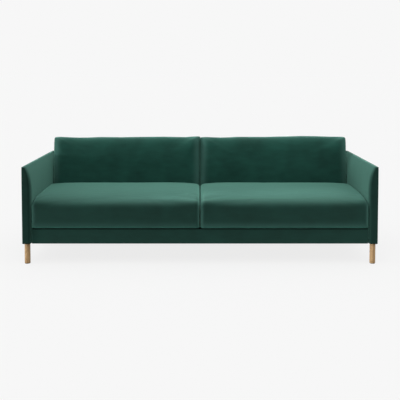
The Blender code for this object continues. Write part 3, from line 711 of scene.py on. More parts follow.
# %% Make the two seat cushions
SEAT_EDGE = 0.026
SEAT_TUCKS = {"arm": (0.010, 0.004), "middle": (0.018, 0.018)}
SEAT_TUCK_FOOT = 0.002
# Painted light on each seat's top: its middle, reach and strength.
SEAT_TOP_LIGHT = {"left": (-0.22, 0.42, 0.30), "right": (0.45, 0.50, 0.24)}
# Painted sheen: paler rims beside the end seams and along the foot.
SEAT_SHEEN = {
    "arm": {"peak": 0.004, "width": 0.013, "most": 1.0},
    "middle": {"peak": 0.008, "width": 0.013, "most": 0.75},
}
SEAT_FOOT_SHEEN, SEAT_FOOT_SHEEN_WIDTH = {"left": 0.40, "right": 0.55}, 0.026
SEAT_PUFF = {"pressure": 4.0, "cap": 0.024, "share": 0.12}
SEAT_SEAM = {"depth": 0.0016, "width": 0.006, "pucker": 0.0009}
SEAT_SHADE_SLOPE, SEAT_SHADED_RISE, SEAT_RESTING = 0.4, 0.8 * FOOT_UP, 0.003
SEAT_DARK_RINGS = (4, 1)
SEAT_END_DROP, SEAT_END_POWER = 0.012, 7.0
SEAT_ROLL_MIDDLE, SEAT_ROLL_ENDS = 2.3, 3.8
SEAT_MIDDLE_GAP, SEAT_ARM_GAP = 0.0030, 0.0032
MIDDLE_CLEAR, ARM_CLEAR = 0.0003, 0.0010
soft_pieces, seam_rows, welt_rows = {}, {}, {}


def cushion_ends(side, middle_gap, arm_gap):
    """Where a cushion's end seams lie: close to its neighbour in the middle, and to the arm."""
    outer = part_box("right_arm_cover")[0].x - arm_gap
    return (-outer, -middle_gap) if side == "left" else (middle_gap, outer)


def make_seat(side):
    """One seat cushion: formed, swollen, sewn, with painted sheen, painted light and painted shade."""
    low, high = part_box(f"{side}_seat_cushion")
    low_x, high_x = cushion_ends(side, SEAT_MIDDLE_GAP, SEAT_ARM_GAP)
    room = np.array([high.y + SEAT_UNDERCUT - low.y, high.z - low.z])
    depth, height = room - SEAT_START_SMALL * np.array([2, 1])

    def ring_at(share, tuck):
        near = abs(2 * share - 1) ** SEAT_END_POWER
        power = SEAT_ROLL_MIDDLE + (SEAT_ROLL_ENDS - SEAT_ROLL_MIDDLE) * near
        loop = seat_loop(depth, height - SEAT_END_DROP * near, power)
        front, top = SEAT_TUCKS["arm" if (share < 0.5) == (side == "left") else "middle"]
        foot = np.array([front, SEAT_TUCK_FOOT]) * tuck
        narrow = 1 - (foot + np.array([0.5 * front, top]) * tuck) / (depth, height)
        return loop * narrow + foot + np.array([low.y + SEAT_START_SMALL, low.z])

    points, quads, seams = cushion_form(low_x, high_x, ring_at, SEAT_ROWS, SEAT_COLUMNS, SEAT_EDGE)
    piece = make_piece(f"{side}_seat_velvet", points, quads, velvet)
    around = 2 * (SEAT_ROWS + SEAT_COLUMNS)
    rings = (len(points) - 2 * (SEAT_ROWS - 1) * (SEAT_COLUMNS - 1)) // around
    dark = SEAT_DARK_RINGS if side == "left" else SEAT_DARK_RINGS[::-1]
    kept = range(dark[0] * around, (rings - 1 - dark[1]) * around)
    skin = (rings - 1) * around

    # Top faces in the rings next to the end seams take the dark seam velvet: painted shade in the creases.
    def in_shade(face):
        return face.index < skin and face.index not in kept and face.normal.z > SEAT_SHADE_SLOPE

    paint_faces(piece, seam_and_shade_velvet, in_shade)
    # Faces below the welt take the dark underside cloth: painted shade under the welt.
    paint_faces(piece, lining_and_shade, lambda face: face.center.z < low.z + SEAT_SHADED_RISE)
    foot_seam = [i * around for i in range(rings)]
    resting = np.flatnonzero(points[:, 2] < low.z + SEAT_RESTING)
    far = puff(piece, {*resting, *seams[0], *seams[1], *foot_seam}, **SEAT_PUFF)
    swollen = read_points(piece.data)
    corner, least = np.array([low.y, low.z]), np.array([swollen[:, 1].min(), low.z])
    grown = swollen[:, 1:].max(axis=0) - least
    swollen[:, 1:] = (swollen[:, 1:] - least) * room / grown + corner
    write_points(piece.data, swollen)
    sew(piece, swollen[[*seams[0], *seams[1]]], **SEAT_SEAM)
    keep_within(piece, cushion_ends(side, MIDDLE_CLEAR, ARM_CLEAR), low.z)
    arm_end, middle_end = seams if side == "left" else seams[::-1]
    # Painted sheen beside the end seams and the foot, and painted light on the top.
    paint_sheen(piece, swollen[arm_end], **SEAT_SHEEN["arm"])
    paint_sheen(piece, swollen[middle_end], **SEAT_SHEEN["middle"])
    paint_sheen(piece, swollen[foot_seam], 0.0, SEAT_FOOT_SHEEN_WIDTH, SEAT_FOOT_SHEEN[side])
    paint_top_light(piece, *SEAT_TOP_LIGHT[side])
    # The seams by the arms take the paler copy, a painted highlight; the middle seams the dark one, painted
    # shade.
    seam_rows[piece.name] = {"arm": (arm_end, highlight_velvet), "middle": (middle_end, seam_and_shade_velvet)}
    welt_rows[piece.name] = foot_seam
    print(piece.name, "swelled", round(far * 1000, 1), "mm, top", round(swollen[:, 2].max(), 4))
    return piece


for side in ("left", "right"):
    piece = subdivide(make_seat(side))
    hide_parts(f"{side}_seat_cushion")
    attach(piece, "pull_out")
    soft_pieces[piece.name] = piece

# %% [markdown]
# ## Back cushions
# The back cushions are softer. They stand on their rounded lower edge, lean back a few degrees, and roll over
# at the top, where feather filling leaves a slightly uneven line and small ears at the corners. The lower
# edge is as round as a log, because the cushion turns on it when the bed opens. The plane where both cushions
# meet is a little slanted, so no light shows between them.

# %% The side view of a back cushion
BACK_PIVOT = Vector((0.0, 0.25, 0.3403))
BACK_LEAN = math.radians(6.0)
BACK_REACH, BACK_DROP, BACK_HALF = 0.435, 0.105, 0.100
BACK_ROWS, BACK_COLUMNS = 46, 16
BACK_ROUND = 0.115
BACK_ROLL_MIDDLE, BACK_ROLL_ENDS = 2.3, 4.5
BACK_EDGE = 0.070
BACK_TUCK_FRONT, BACK_TUCK_TOP = 0.054, 0.004
BACK_START_SMALL = 0.005
BACK_PRESS, BACK_PRESS_REACH = 0.003, 0.040
BACK_SAMPLES = 60


def back_loop(rise, tuck, power):
    """A back cushion's side view, square to its lean: up the front, over the top, down the rear, under."""
    half = BACK_HALF - BACK_START_SMALL - BACK_TUCK_FRONT * tuck
    high = BACK_REACH - BACK_START_SMALL + rise - BACK_TUCK_TOP * tuck
    low = BACK_DROP - BACK_START_SMALL - BACK_TUCK_TOP * tuck
    turn = np.linspace(0, math.pi / 2, BACK_SAMPLES)
    bend = 2 / power
    out = half * np.cos(turn) ** bend
    up = BACK_ROUND * np.sin(turn) ** bend
    lower_out, lower_up = half * np.cos(turn), low * np.sin(turn)
    quarter = [
        np.stack([-lower_out, -lower_up], 1)[::-1],
        np.stack([-out, high - BACK_ROUND + up], 1),
        np.stack([out, high - BACK_ROUND + up], 1)[::-1],
        np.stack([lower_out, -lower_up], 1),
    ]
    ring = np.concatenate([q[:-1] for q in quarter] + [quarter[3][-1:]])
    loop = even_steps(ring, 2 * (BACK_ROWS + BACK_COLUMNS))[:-1]
    return np.roll(loop, -(BACK_COLUMNS // 2), axis=0)


def lean(points):
    """From (out, up) about the turning line to the sofa's y and z."""
    out, up = points[:, 0], points[:, 1]
    y = BACK_PIVOT.y + out * math.cos(BACK_LEAN) + up * math.sin(BACK_LEAN)
    z = BACK_PIVOT.z - out * math.sin(BACK_LEAN) + up * math.cos(BACK_LEAN)
    return np.stack([y, z], 1)


def unlean(points):
    """From the sofa's y and z back to (out, up)."""
    y, z = points[:, 0] - BACK_PIVOT.y, points[:, 1] - BACK_PIVOT.z
    out = y * math.cos(BACK_LEAN) - z * math.sin(BACK_LEAN)
    return np.stack([out, y * math.sin(BACK_LEAN) + z * math.cos(BACK_LEAN)], 1)


def pressed_aside(points):
    """How far the plane where both cushions meet is pushed to one side behind their front seams."""
    out = unlean(points[:, 1:])[:, 0]
    near = np.clip(1 - np.abs(points[:, 0]) / BACK_PRESS_REACH, 0, 1)
    return BACK_PRESS * near * np.clip(0.5 + out / BACK_PRESS_REACH, 0, 1)


# %% Make the two back cushions
BACK_TOP_LINE = {
    "left": (
        (0.0, 0.003), (0.15, -0.003), (0.22, -0.002), (0.31, 0.0025), (0.45, 0.0023),
        (0.60, 0.0035), (0.75, 0.0042), (0.90, -0.0012), (1.0, 0.008),
    ),
    "right": (
        (0.0, 0.001), (0.14, -0.0033), (0.20, -0.0009), (0.25, 0.0034), (0.42, 0.0046),
        (0.58, 0.0078), (0.70, 0.0103), (0.80, 0.0083), (0.90, 0.0028), (1.0, 0.002),
    ),
}
BACK_MIDDLE_GAP, BACK_ARM_GAP = 0.0010, 0.0040
BACK_END_POWER = 12
BACK_BELLY, BACK_FOOT_CLEAR = 0.004, 0.0005
BACK_PUFF = {"pressure": 3.0, "cap": 0.024, "share": 0.24}
BACK_SEAM = {"depth": 0.003, "width": 0.008, "pucker": 0.0016}
# Painted sheen: paler rims beside the back cushions' end seams.
BACK_SHEEN = {
    "arm": {"peak": 0.042, "width": 0.022, "most": 0.6},
    "middle": {"peak": 0.034, "width": 0.026, "most": 1.0},
}


def make_back(side):
    """One back cushion: formed, swollen, kept in its room, sewn, pressed aside, with painted sheen."""
    shares, rises = zip(*BACK_TOP_LINE[side])
    low_x, high_x = cushion_ends(side, BACK_MIDDLE_GAP, BACK_ARM_GAP)

    def ring_at(share, tuck):
        near = abs(2 * share - 1) ** BACK_END_POWER
        power = BACK_ROLL_MIDDLE + (BACK_ROLL_ENDS - BACK_ROLL_MIDDLE) * near
        return lean(back_loop(float(np.interp(share, shares, rises)), tuck, power))

    points, quads, seams = cushion_form(low_x, high_x, ring_at, BACK_ROWS, BACK_COLUMNS, BACK_EDGE)
    piece = make_piece(f"{side}_back_velvet", points, quads, lit_back_velvet)
    far = puff(piece, {*seams[0], *seams[1]}, **BACK_PUFF)
    swollen = read_points(piece.data)
    local = unlean(swollen[:, 1:])
    local[:, 1] *= np.where(local[:, 1] > 0, (BACK_REACH + max(rises)) / local[:, 1].max(), 1.0)
    local[:, 0] = np.clip(local[:, 0], -BACK_HALF - BACK_BELLY, BACK_HALF)
    reach = np.hypot(local[:, 0], local[:, 1])
    below = local[:, 1] < 0
    shrink = (BACK_DROP - BACK_FOOT_CLEAR) / np.maximum(reach[below], TINY)
    local[below] *= np.minimum(1.0, shrink)[:, None]
    swollen[:, 1:] = lean(local)
    write_points(piece.data, swollen)
    sew(piece, swollen[[*seams[0], *seams[1]]], **BACK_SEAM)
    keep_within(piece, cushion_ends(side, MIDDLE_CLEAR, ARM_CLEAR), 0.0)
    pressed = read_points(piece.data)
    pressed[:, 0] += pressed_aside(pressed)
    write_points(piece.data, pressed)
    arm_end, middle_end = seams if side == "left" else seams[::-1]
    # Painted sheen beside the end seams.
    paint_sheen(piece, swollen[arm_end], **BACK_SHEEN["arm"])
    paint_sheen(piece, swollen[middle_end], **BACK_SHEEN["middle"])
    # The seams by the arms take the darker copy and the middle seams the dark one: painted shade.
    seam_rows[piece.name] = {"arm": (arm_end, shaded_arm_velvet), "middle": (middle_end, seam_and_shade_velvet)}
    print(piece.name, "swelled", round(far * 1000, 1), "mm, top", round(swollen[:, 2].max(), 4))
    return piece


for side in ("left", "right"):
    piece = subdivide(make_back(side))
    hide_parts(f"{side}_back_cushion")
    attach(piece, f"{side}_back_cushion")
    soft_pieces[piece.name] = piece

# %% [markdown]
# ## Sleeves on arms, back and rail
# These are thin pads under tight velvet. A block of grid lines that lie close together at its edges gives
# each its shape, and one rule rounds all its edges. The faces under the sofa are left out, and Solidify gives
# the rest a wall, so the frame inside stays free.

# %% Blocks with rounded edges
SHADED_FOOT_HEIGHT = 0.005
SLEEVE_LIFT = Vector((0.0, 0.0, 0.0053))
SLEEVE_CELL = 0.014
SLEEVE_WALL, SLEEVE_TURN_IN, ON_FACE = 0.005, 0.008, 0.0004
EDGE_LINES = (0.0, 0.2, 0.45, 0.72)


def sleeve_box(node):
    """The box of a cover whose padding stands a little fuller on top than its solid."""
    low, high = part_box(node)
    return low, high + SLEEVE_LIFT


def grid_lines(length, edge, cell):
    """Places of grid lines: close together in the rounded edges, even between them."""
    near = [edge * share for share in EDGE_LINES]
    count = max(1, round((length - 2 * edge) / cell))
    middle = [edge + (length - 2 * edge) * i / count for i in range(count + 1)]
    return np.array(near + middle + [length - place for place in reversed(near)])


def block_grid(sides):
    """Points on the outside of a block with these grid lines, and quads that face outwards."""
    steps = [len(side) - 1 for side in sides]
    index, points, quads = {}, [], []

    def at(cell):
        if cell not in index:
            index[cell] = len(points)
            points.append([sides[axis][cell[axis]] for axis in range(3)])
        return index[cell]

    for axis in range(3):
        a, b = (axis + 1) % 3, (axis + 2) % 3
        for end in (0, steps[axis]):
            for i in range(steps[a]):
                for j in range(steps[b]):
                    quad = []
                    for di, dj in ((0, 0), (1, 0), (1, 1), (0, 1)):
                        cell = [0, 0, 0]
                        cell[axis], cell[a], cell[b] = end, i + di, j + dj
                        quad.append(at(tuple(cell)))
                    quads.append(quad if end else quad[::-1])
    return np.array(points), quads


def rounded_block(lengths, edge, cell=SLEEVE_CELL):
    """Points and quads of a block at the origin with all its edges rounded."""
    points, quads = block_grid([grid_lines(length, edge, cell) for length in lengths])
    inner = np.clip(points, edge, np.array(lengths) - edge)
    turn = (points - inner) / edge
    size = np.linalg.norm(turn, axis=1, keepdims=True)
    return inner + edge * turn / np.maximum(size, 1.0), quads


def ripples(points, size, height):
    """A gentle unevenness of tight cloth over padding."""
    return height * np.array([noise.noise(Vector(p) / size) for p in points])


def make_sleeve(name, points, quads, keep, wall, finish):
    """A sleeve from a block's outside: the faces that keep() leaves out stay open."""
    middles = points[np.array(quads)].mean(axis=1)
    piece = make_piece(name, points, [q for q, m in zip(quads, middles) if keep(m)], finish)
    # A band along the lower edge takes the dark seam velvet: painted shade.
    shaded_foot = points[:, 2].min() + SHADED_FOOT_HEIGHT
    paint_faces(piece, seam_and_shade_velvet, lambda face: face.center.z < shaded_foot)
    loose = piece.modifiers.new("wall", "SOLIDIFY")
    loose.thickness, loose.offset = wall, -1.0
    return settle(piece)


# %% Arms
ARM_EDGE = 0.005
ARM_NOMINAL, ARM_TOP_WIDTH, ARM_TAPER, ARM_TAPER_POWER = 0.060, 0.022, 0.225, 3.6
ARM_TUCK, ARM_TUCK_REACH = 0.018, 0.045
ARM_RIPPLE = (0.13, 0.0006)
ARM_OPEN_MIDDLE, ARM_OPEN_HALF = 0.030, 0.0235
NEARLY = 1e-6


def make_arm(side, sign):
    """An arm's sleeve: a block that tapers to a thin top and is tucked in at its front."""
    low, high = sleeve_box(f"{side}_arm_cover")
    lengths = (ARM_NOMINAL, high.y - low.y, high.z - low.z)
    points, quads = rounded_block(lengths, ARM_EDGE)
    up = np.clip((points[:, 2] + low.z - (high.z - ARM_TAPER)) / ARM_TAPER, 0, 1)
    width = ARM_TOP_WIDTH + (ARM_NOMINAL - ARM_TOP_WIDTH) * (1 - up**ARM_TAPER_POWER)
    near = 1 - np.minimum(points[:, 1] / ARM_TUCK_REACH, 1)
    width -= ARM_TUCK * width / ARM_NOMINAL * (1 - np.sqrt(1 - near * near))
    outward = points[:, 0]
    share = np.interp(outward, (ARM_EDGE, ARM_NOMINAL - ARM_EDGE), (1, 0))
    across = share * (width - 2 * ARM_EDGE) + ARM_EDGE
    across = np.where(outward > ARM_NOMINAL - ARM_EDGE - NEARLY, ARM_NOMINAL - outward, across)
    across = np.where(outward < ARM_EDGE + NEARLY, width - outward, across)
    outer = max(abs(low.x), abs(high.x))
    placed = np.stack([sign * (outer - across), low.y + points[:, 1], low.z + points[:, 2]], 1)
    inside = outward < 0.5 * ARM_NOMINAL
    placed[:, 0] += sign * np.where(inside, 1, -1) * ripples(placed, *ARM_RIPPLE)
    if sign < 0:
        quads = [q[::-1] for q in quads]

    def keep(middle):
        off_middle = abs(abs(middle[0]) - outer + ARM_OPEN_MIDDLE)
        under = middle[2] < low.z + ON_FACE and off_middle < ARM_OPEN_HALF
        behind = middle[1] > high.y - ON_FACE
        return not (behind or under and middle[1] > low.y + SLEEVE_TURN_IN)

    return make_sleeve(f"{side}_arm_velvet", placed, quads, keep, SLEEVE_WALL, shaded_arm_velvet)


SIDES = (("left", -1), ("right", 1))
for side, sign in SIDES:
    piece = make_arm(side, sign)
    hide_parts(f"{side}_arm_cover")
    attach(piece, "shell")
    soft_pieces[piece.name] = piece
    print(piece.name, len(piece.data.polygons), "faces")

# %% Back
BACK_SLEEVE_EDGE = 0.006
BACK_RIPPLE, BACK_INNER_RIPPLE = (0.2, 0.0007), -0.2
back_low, back_high = sleeve_box("back_cover")
points, quads = rounded_block(tuple(back_high - back_low), BACK_SLEEVE_EDGE)
points += np.array(back_low)
rearward = points[:, 1] > (back_low.y + back_high.y) / 2
points[:, 1] += np.where(rearward, 1, BACK_INNER_RIPPLE) * ripples(points, *BACK_RIPPLE)


def keep_back(middle):
    """Leaves the middle of the underside open."""
    between = back_low.y + SLEEVE_TURN_IN < middle[1] < back_high.y - SLEEVE_TURN_IN
    inside = between and abs(middle[0]) < back_high.x - SLEEVE_TURN_IN
    return not (inside and middle[2] < back_low.z + ON_FACE)


piece = make_sleeve("back_velvet", points, quads, keep_back, SLEEVE_WALL, shaded_arm_velvet)
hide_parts("back_cover")
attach(piece, "shell")
soft_pieces[piece.name] = piece
print(piece.name, len(piece.data.polygons), "faces")

# %% Rail
RAIL_EDGE = 0.0040
RAIL_LIP_TOP = 0.162
RAIL_CELL, RAIL_WALL, RAIL_DARK_TOP = 0.012, 0.0024, 0.0015
RAIL_OPEN_END, RAIL_OPEN_FRONT = 0.007, 0.0095
RAIL_RIPPLE, RAIL_FACE_DEPTH = (0.16, 0.0006), 0.001
RAIL_SPREAD, RAIL_SAG = Vector((0.0035, 0.0, 0.0)), Vector((0.0, 0.0, 0.002))
low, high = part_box("front_rail_cover")
rail_low, rail_high = low - RAIL_SPREAD - RAIL_SAG, high + RAIL_SPREAD
points, quads = rounded_block(tuple(rail_high - rail_low), RAIL_EDGE, RAIL_CELL)
points += np.array(rail_low)
in_front = points[:, 1] < rail_low.y + RAIL_FACE_DEPTH
points[:, 1] += np.where(in_front, ripples(points, *RAIL_RIPPLE), 0)


def keep_rail(middle):
    """Leaves the top behind the front edge and the rear above the lip open."""
    inside = abs(middle[0]) < rail_high.x - RAIL_OPEN_END
    over = middle[2] > rail_high.z - ON_FACE and middle[1] > rail_low.y + RAIL_OPEN_FRONT and inside
    behind = middle[1] > rail_high.y - ON_FACE and middle[2] > RAIL_LIP_TOP and inside
    return not (over or behind)


piece = make_sleeve("front_rail_velvet", points, quads, keep_rail, RAIL_WALL, velvet)
# The rail's top takes the dark underside cloth: painted shade under the seats' overhang.
paint_faces(piece, lining_and_shade, lambda face: face.center.z > rail_high.z - RAIL_DARK_TOP)
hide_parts("front_rail_cover")
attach(piece, "pull_out")
soft_pieces[piece.name] = piece
print(piece.name, len(piece.data.polygons), "faces")

# %% A dark flap over the front ends of the slats: painted shade in the gap under the seats
FLAP_DEPTH, FLAP_THICKNESS = 0.050, 0.0002
FLAP_IN_X, FLAP_IN_Y, FLAP_CLEAR = 0.006, 0.006, 0.00005
lines = [np.linspace(0, rail_high.x - rail_low.x - 2 * FLAP_IN_X, 9)]
lines += [np.linspace(0, FLAP_DEPTH, 3), np.array([0.0, FLAP_THICKNESS])]
points, quads = block_grid(lines)
deck_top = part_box("sliding_slat_01")[1].z
points += np.array([rail_low.x + FLAP_IN_X, rail_low.y + FLAP_IN_Y, deck_top + FLAP_CLEAR])
piece = make_piece("slat_flap", points, quads, lining_and_shade)
piece.data.shade_flat()
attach(piece, "pull_out")
print(piece.name, "on the slats at", round(deck_top, 4))

# %% [markdown]
# ## Legs
# The four legs are plain turned oak dowels with a small bevel at both ends. A profile turned about its axis
# with many steps stays round in close views, and the grain runs upright.

# %% Turn the legs
LEG_STEPS, LEG_BEVEL = 48, 0.0010


def turn_piece(name, profile, centre, finish):
    """A solid of (radius, height) points turned about an upright axis."""
    angles = [2 * math.pi * i / LEG_STEPS for i in range(LEG_STEPS)]
    points = [
        (centre[0] + radius * math.cos(angle), centre[1] + radius * math.sin(angle), z)
        for radius, z in profile
        for angle in angles
    ]
    quads = []
    for i in range(len(profile) - 1):
        here, above = i * LEG_STEPS, (i + 1) * LEG_STEPS
        for t in range(LEG_STEPS):
            after = (t + 1) % LEG_STEPS
            quads.append((here + t, here + after, above + after, above + t))
    last = (len(profile) - 1) * LEG_STEPS
    quads += [tuple(range(LEG_STEPS))[::-1], tuple(range(last, last + LEG_STEPS))]
    return make_piece(name, np.array(points), quads, finish)


for place in ("front", "rear"):
    for side in ("left", "right"):
        node = f"{place}_{side}_leg"
        low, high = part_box(node)
        radius, bevel = (high.x - low.x) / 2, LEG_BEVEL
        profile = [(radius - bevel, low.z), (radius - bevel * 0.4, low.z + bevel * 0.35)]
        profile += [(radius, low.z + bevel)]
        profile += [(radius, low.z + (high.z - low.z) * share) for share in (0.2, 0.5, 0.8)]
        profile += [(radius, high.z - bevel), (radius - bevel, high.z)]
        piece = turn_piece(f"{node}_oak", profile, (low + high) / 2, oak_upright)
        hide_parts(node)
        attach(piece, "shell")
print("legs: 4, diameter", round(2 * radius, 4))

# %% [markdown]
# ## Seams
# The covers are joined by plain seams, which show as a fine line along the edges. Geometry Nodes sweep a
# small round along the sewn rows. The rows come from the finished covers, so the seams lie on the cloth: a
# little raised on the fronts, and sunk on the tops.

# %% Grow pieces along paths
def grow_tree(name, sizes):
    """Starts a geometry tree with named sizes and a finish, and returns what its maker needs."""
    tree = bpy.data.node_groups.new(name, "GeometryNodeTree")
    tree.interface.new_socket("Geometry", in_out="INPUT", socket_type="NodeSocketGeometry")
    names = {}
    for label, kind in (*sizes, ("Finish", "NodeSocketMaterial")):
        names[label] = tree.interface.new_socket(label, in_out="INPUT", socket_type=kind).identifier
    tree.interface.new_socket("Geometry", in_out="OUTPUT", socket_type="NodeSocketGeometry")
    return tree, names, add_node(tree, "NodeGroupInput"), add_node(tree, "NodeGroupOutput")


def end_tree(tree, shape, source, sink):
    """Realizes what was grown and gives it its finish."""
    real = add_node(tree, "GeometryNodeRealizeInstances", {0: shape}).outputs[0]
    feeds = {"Geometry": real, "Material": source.outputs["Finish"]}
    paint = add_node(tree, "GeometryNodeSetMaterial", feeds)
    tree.links.new(paint.outputs[0], sink.inputs[0])


def grow(name, points, edges, tree, names, values):
    """Runs a geometry tree over points and edges and keeps the result as a plain mesh."""
    mesh = bpy.data.meshes.new(name)
    mesh.from_pydata([tuple(p) for p in points], edges, [])
    piece = bpy.data.objects.new(name, mesh)
    growth = piece.modifiers.new("grow", "NODES")
    growth.node_group = tree
    for label, value in values.items():
        growth[names[label]] = value
    scene.collection.objects.link(piece)
    return settle(piece)


seam_tree, seam_names, source, sink = grow_tree("sewn seam", [("Seam radius", "NodeSocketFloat")])
line = add_node(seam_tree, "GeometryNodeMeshToCurve", {"Mesh": source.outputs["Geometry"]})
feeds = {"Resolution": 8, "Radius": source.outputs["Seam radius"]}
thread = add_node(seam_tree, "GeometryNodeCurvePrimitiveCircle", feeds)
feeds = {"Curve": line.outputs["Curve"], "Profile Curve": thread.outputs["Curve"], "Fill Caps": True}
sweep = add_node(seam_tree, "GeometryNodeCurveToMesh", feeds)
end_tree(seam_tree, sweep.outputs["Mesh"], source, sink)
print("tree:", seam_tree.name)

# %% Seams on the cushions
SEAM_RADIUS = 0.0018


def seam_lines(rows):
    """Edges that join each row's points, closed where the row is."""
    points, edges = [], []
    for row, closed in rows:
        start = len(points)
        points += list(row)
        edges += [(start + i, start + i + 1) for i in range(len(row) - 1)]
        if closed:
            edges.append((start + len(row) - 1, start))
    return points, edges


def sew_on(name, body, rows, radius, finish):
    """Sweeps one seam piece along its rows of points."""
    lines, edges = seam_lines(rows)
    seams = grow(name, lines, edges, seam_tree, seam_names, {"Seam radius": radius, "Finish": finish})
    seams.data.shade_smooth()
    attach(seams, body)
    print(seams.name, len(seams.data.polygons), "faces")


SEAM_RAISE, SEAM_SINK, SEAM_REACH, SEAM_CLEAR = 0.0010, 0.0040, 1.1194, 0.0002
for name, ends in seam_rows.items():
    cover = soft_pieces[name]
    normals = read_points(cover.data, "normal")
    on_cloth = read_points(cover.data) + normals * (SEAM_RAISE - SEAM_SINK * np.clip(normals[:, 2:], 0, 1))
    aside = pressed_aside(on_cloth) if "back" in name else 0.0
    sign = -1 if name.startswith("left") else 1
    nearest, farthest = SEAM_RADIUS + SEAM_CLEAR, SEAM_REACH - SEAM_RADIUS
    off_middle = np.clip(sign * (on_cloth[:, 0] - aside), nearest, farthest)
    on_cloth[:, 0] = sign * off_middle + aside
    for end, (row, finish) in ends.items():
        title = name.replace("velvet", f"{end}_seam")
        sew_on(title, cover["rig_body"], [(on_cloth[row], True)], SEAM_RADIUS, finish)

# %% A welt along the foot of each seat cushion
WELT_RADIUS = 0.0032
WELT_PLACE = np.array([0.0, -0.0018, 0.0020])
# The welt takes the paler velvet copy: a painted highlight along the foot.
for name, row in welt_rows.items():
    cover = soft_pieces[name]
    path = read_points(cover.data)[row] + WELT_PLACE
    sew_on(name.replace("_velvet", "_welt"), cover["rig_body"], [(path, False)], WELT_RADIUS, highlight_velvet)

# %% Seams on the outsides of arms and back
SLEEVE_SEAM_RADIUS, SLEEVE_SEAM_IN, SLEEVE_SEAM_TURN = 0.0011, 0.008, 0.006
SLEEVE_SEAM_STEP, SLEEVE_SEAM_END, SLEEVE_SEAM_FOOT = 0.012, 0.002, 0.006
QUARTER_ROUND = (0.0, 0.08, 0.3, 0.62, 1.0)


def panel_path(low_a, high_a, low_b, high_b, both):
    """A line up one side of a panel, round its corner, along its top, and down the other side too if both."""
    turn = [SLEEVE_SEAM_TURN * v for v in QUARTER_ROUND]
    corner = [(low_a + first, high_b - last) for first, last in zip(turn, reversed(turn))]
    path = [(low_a, low_b), *corner]
    path += [(low_a + high_a - a, b) for a, b in reversed(path)] if both else [(high_a, high_b)]
    length = sum(math.dist(p, q) for p, q in zip(path, path[1:]))
    return even_steps(path, round(length / SLEEVE_SEAM_STEP))


for side, sign in SIDES:
    low, high = sleeve_box(f"{side}_arm_cover")
    foot, top = low.z + SLEEVE_SEAM_FOOT, high.z - SLEEVE_SEAM_IN
    flat = panel_path(low.y + SLEEVE_SEAM_IN, high.y - SLEEVE_SEAM_END, foot, top, both=False)
    path = np.array([(sign * max(abs(low.x), abs(high.x)), y, z) for y, z in flat])
    path[:, 0] -= sign * ripples(path, *ARM_RIPPLE)
    sew_on(f"{side}_arm_seam", "shell", [(path, False)], SLEEVE_SEAM_RADIUS, seam_and_shade_velvet)
reach = back_high.x - SLEEVE_SEAM_IN
foot, top = back_low.z + SLEEVE_SEAM_FOOT, back_high.z - SLEEVE_SEAM_IN
flat = panel_path(-reach, reach, foot, top, both=True)
path = np.array([(x, back_high.y, z) for x, z in flat])
path[:, 1] += ripples(path, *BACK_RIPPLE)
sew_on("back_seam", "shell", [(path, False)], SLEEVE_SEAM_RADIUS, seam_and_shade_velvet)

# %% [markdown]
# ## Hems, staples and screws
# Under the sofa the velvet folds over the frame and is stapled down. Screws hold the slats, the leg brackets
# and the steel channels. Each kind is one small shape, so Geometry Nodes place copies of it on a list of
# points. A wrong size is then mended once for all of them.

# %% Fold the hems
HEM_WIDTH, HEM_THICKNESS, HEM_IN = 0.013, 0.0008, 0.0035
HEM_CLEAR, HEM_END_IN = 0.0001, 0.01
HEM_FRONT, HEM_REAR = -0.404, 0.344
hem_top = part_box("left_arm_frame")[0].z - HEM_CLEAR


def hem_strips(low, high, axis, start, end):
    """The two strips (x0, x1, y0, y1) under a cover that runs along an axis."""
    strips = []
    for edge, step in ((low, HEM_WIDTH), (high, -HEM_WIDTH)):
        near = edge + math.copysign(HEM_IN, step)
        across = sorted((near, near + step))
        strips.append((start, end, *across) if axis == "x" else (*across, start, end))
    return strips


def make_hem(name, strips):
    """Thin strips of folded cloth under the frame."""
    points, quads = [], []
    for x0, x1, y0, y1 in strips:
        lines = [np.array([x0, x1]), np.array([y0, y1]), np.array([hem_top - HEM_THICKNESS, hem_top])]
        corners, faces = block_grid(lines)
        quads += [[number + len(points) for number in face] for face in faces]
        points += list(corners)
    piece = make_piece(name, points, quads, seam_and_shade_velvet)
    piece.data.shade_flat()
    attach(piece, "shell")


hems = {}
for side in ("left", "right"):
    low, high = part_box(f"{side}_arm_cover")
    hems[f"{side}_arm_hem"] = hem_strips(low.x, high.x, "y", HEM_FRONT, HEM_REAR)
back_ends = (back_low.x + HEM_END_IN, back_high.x - HEM_END_IN)
hems["back_hem"] = hem_strips(back_low.y, back_high.y, "x", *back_ends)
for name, strips in hems.items():
    make_hem(name, strips)
print("hems:", list(hems))

# %% Trees for staples and screws
SCREW_SIDES = 14


def scatter_tree(name, kind, sizes, links):
    """A geometry tree that puts one small shape on every point, turned one way."""
    tree, names, source, sink = grow_tree(name, [*sizes, ("Turn", "NodeSocketVector")])
    shape = add_node(tree, kind, {socket: source.outputs[label] for label, socket in links})
    feeds = {"Points": source.outputs["Geometry"], "Instance": shape.outputs["Mesh"]}
    feeds |= {"Rotation": source.outputs["Turn"]}
    copies = add_node(tree, "GeometryNodeInstanceOnPoints", feeds)
    end_tree(tree, copies.outputs[0], source, sink)
    return tree, names, shape


def scatter(name, body, points, tree, names, values):
    """Grows one piece of fasteners on a list of points, for one body."""
    piece = grow(name, points, [], tree, names, {**values, "Finish": steel})
    piece.data.shade_flat()
    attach(piece, body)
    print(name, len(points), "copies,", len(piece.data.polygons), "faces")


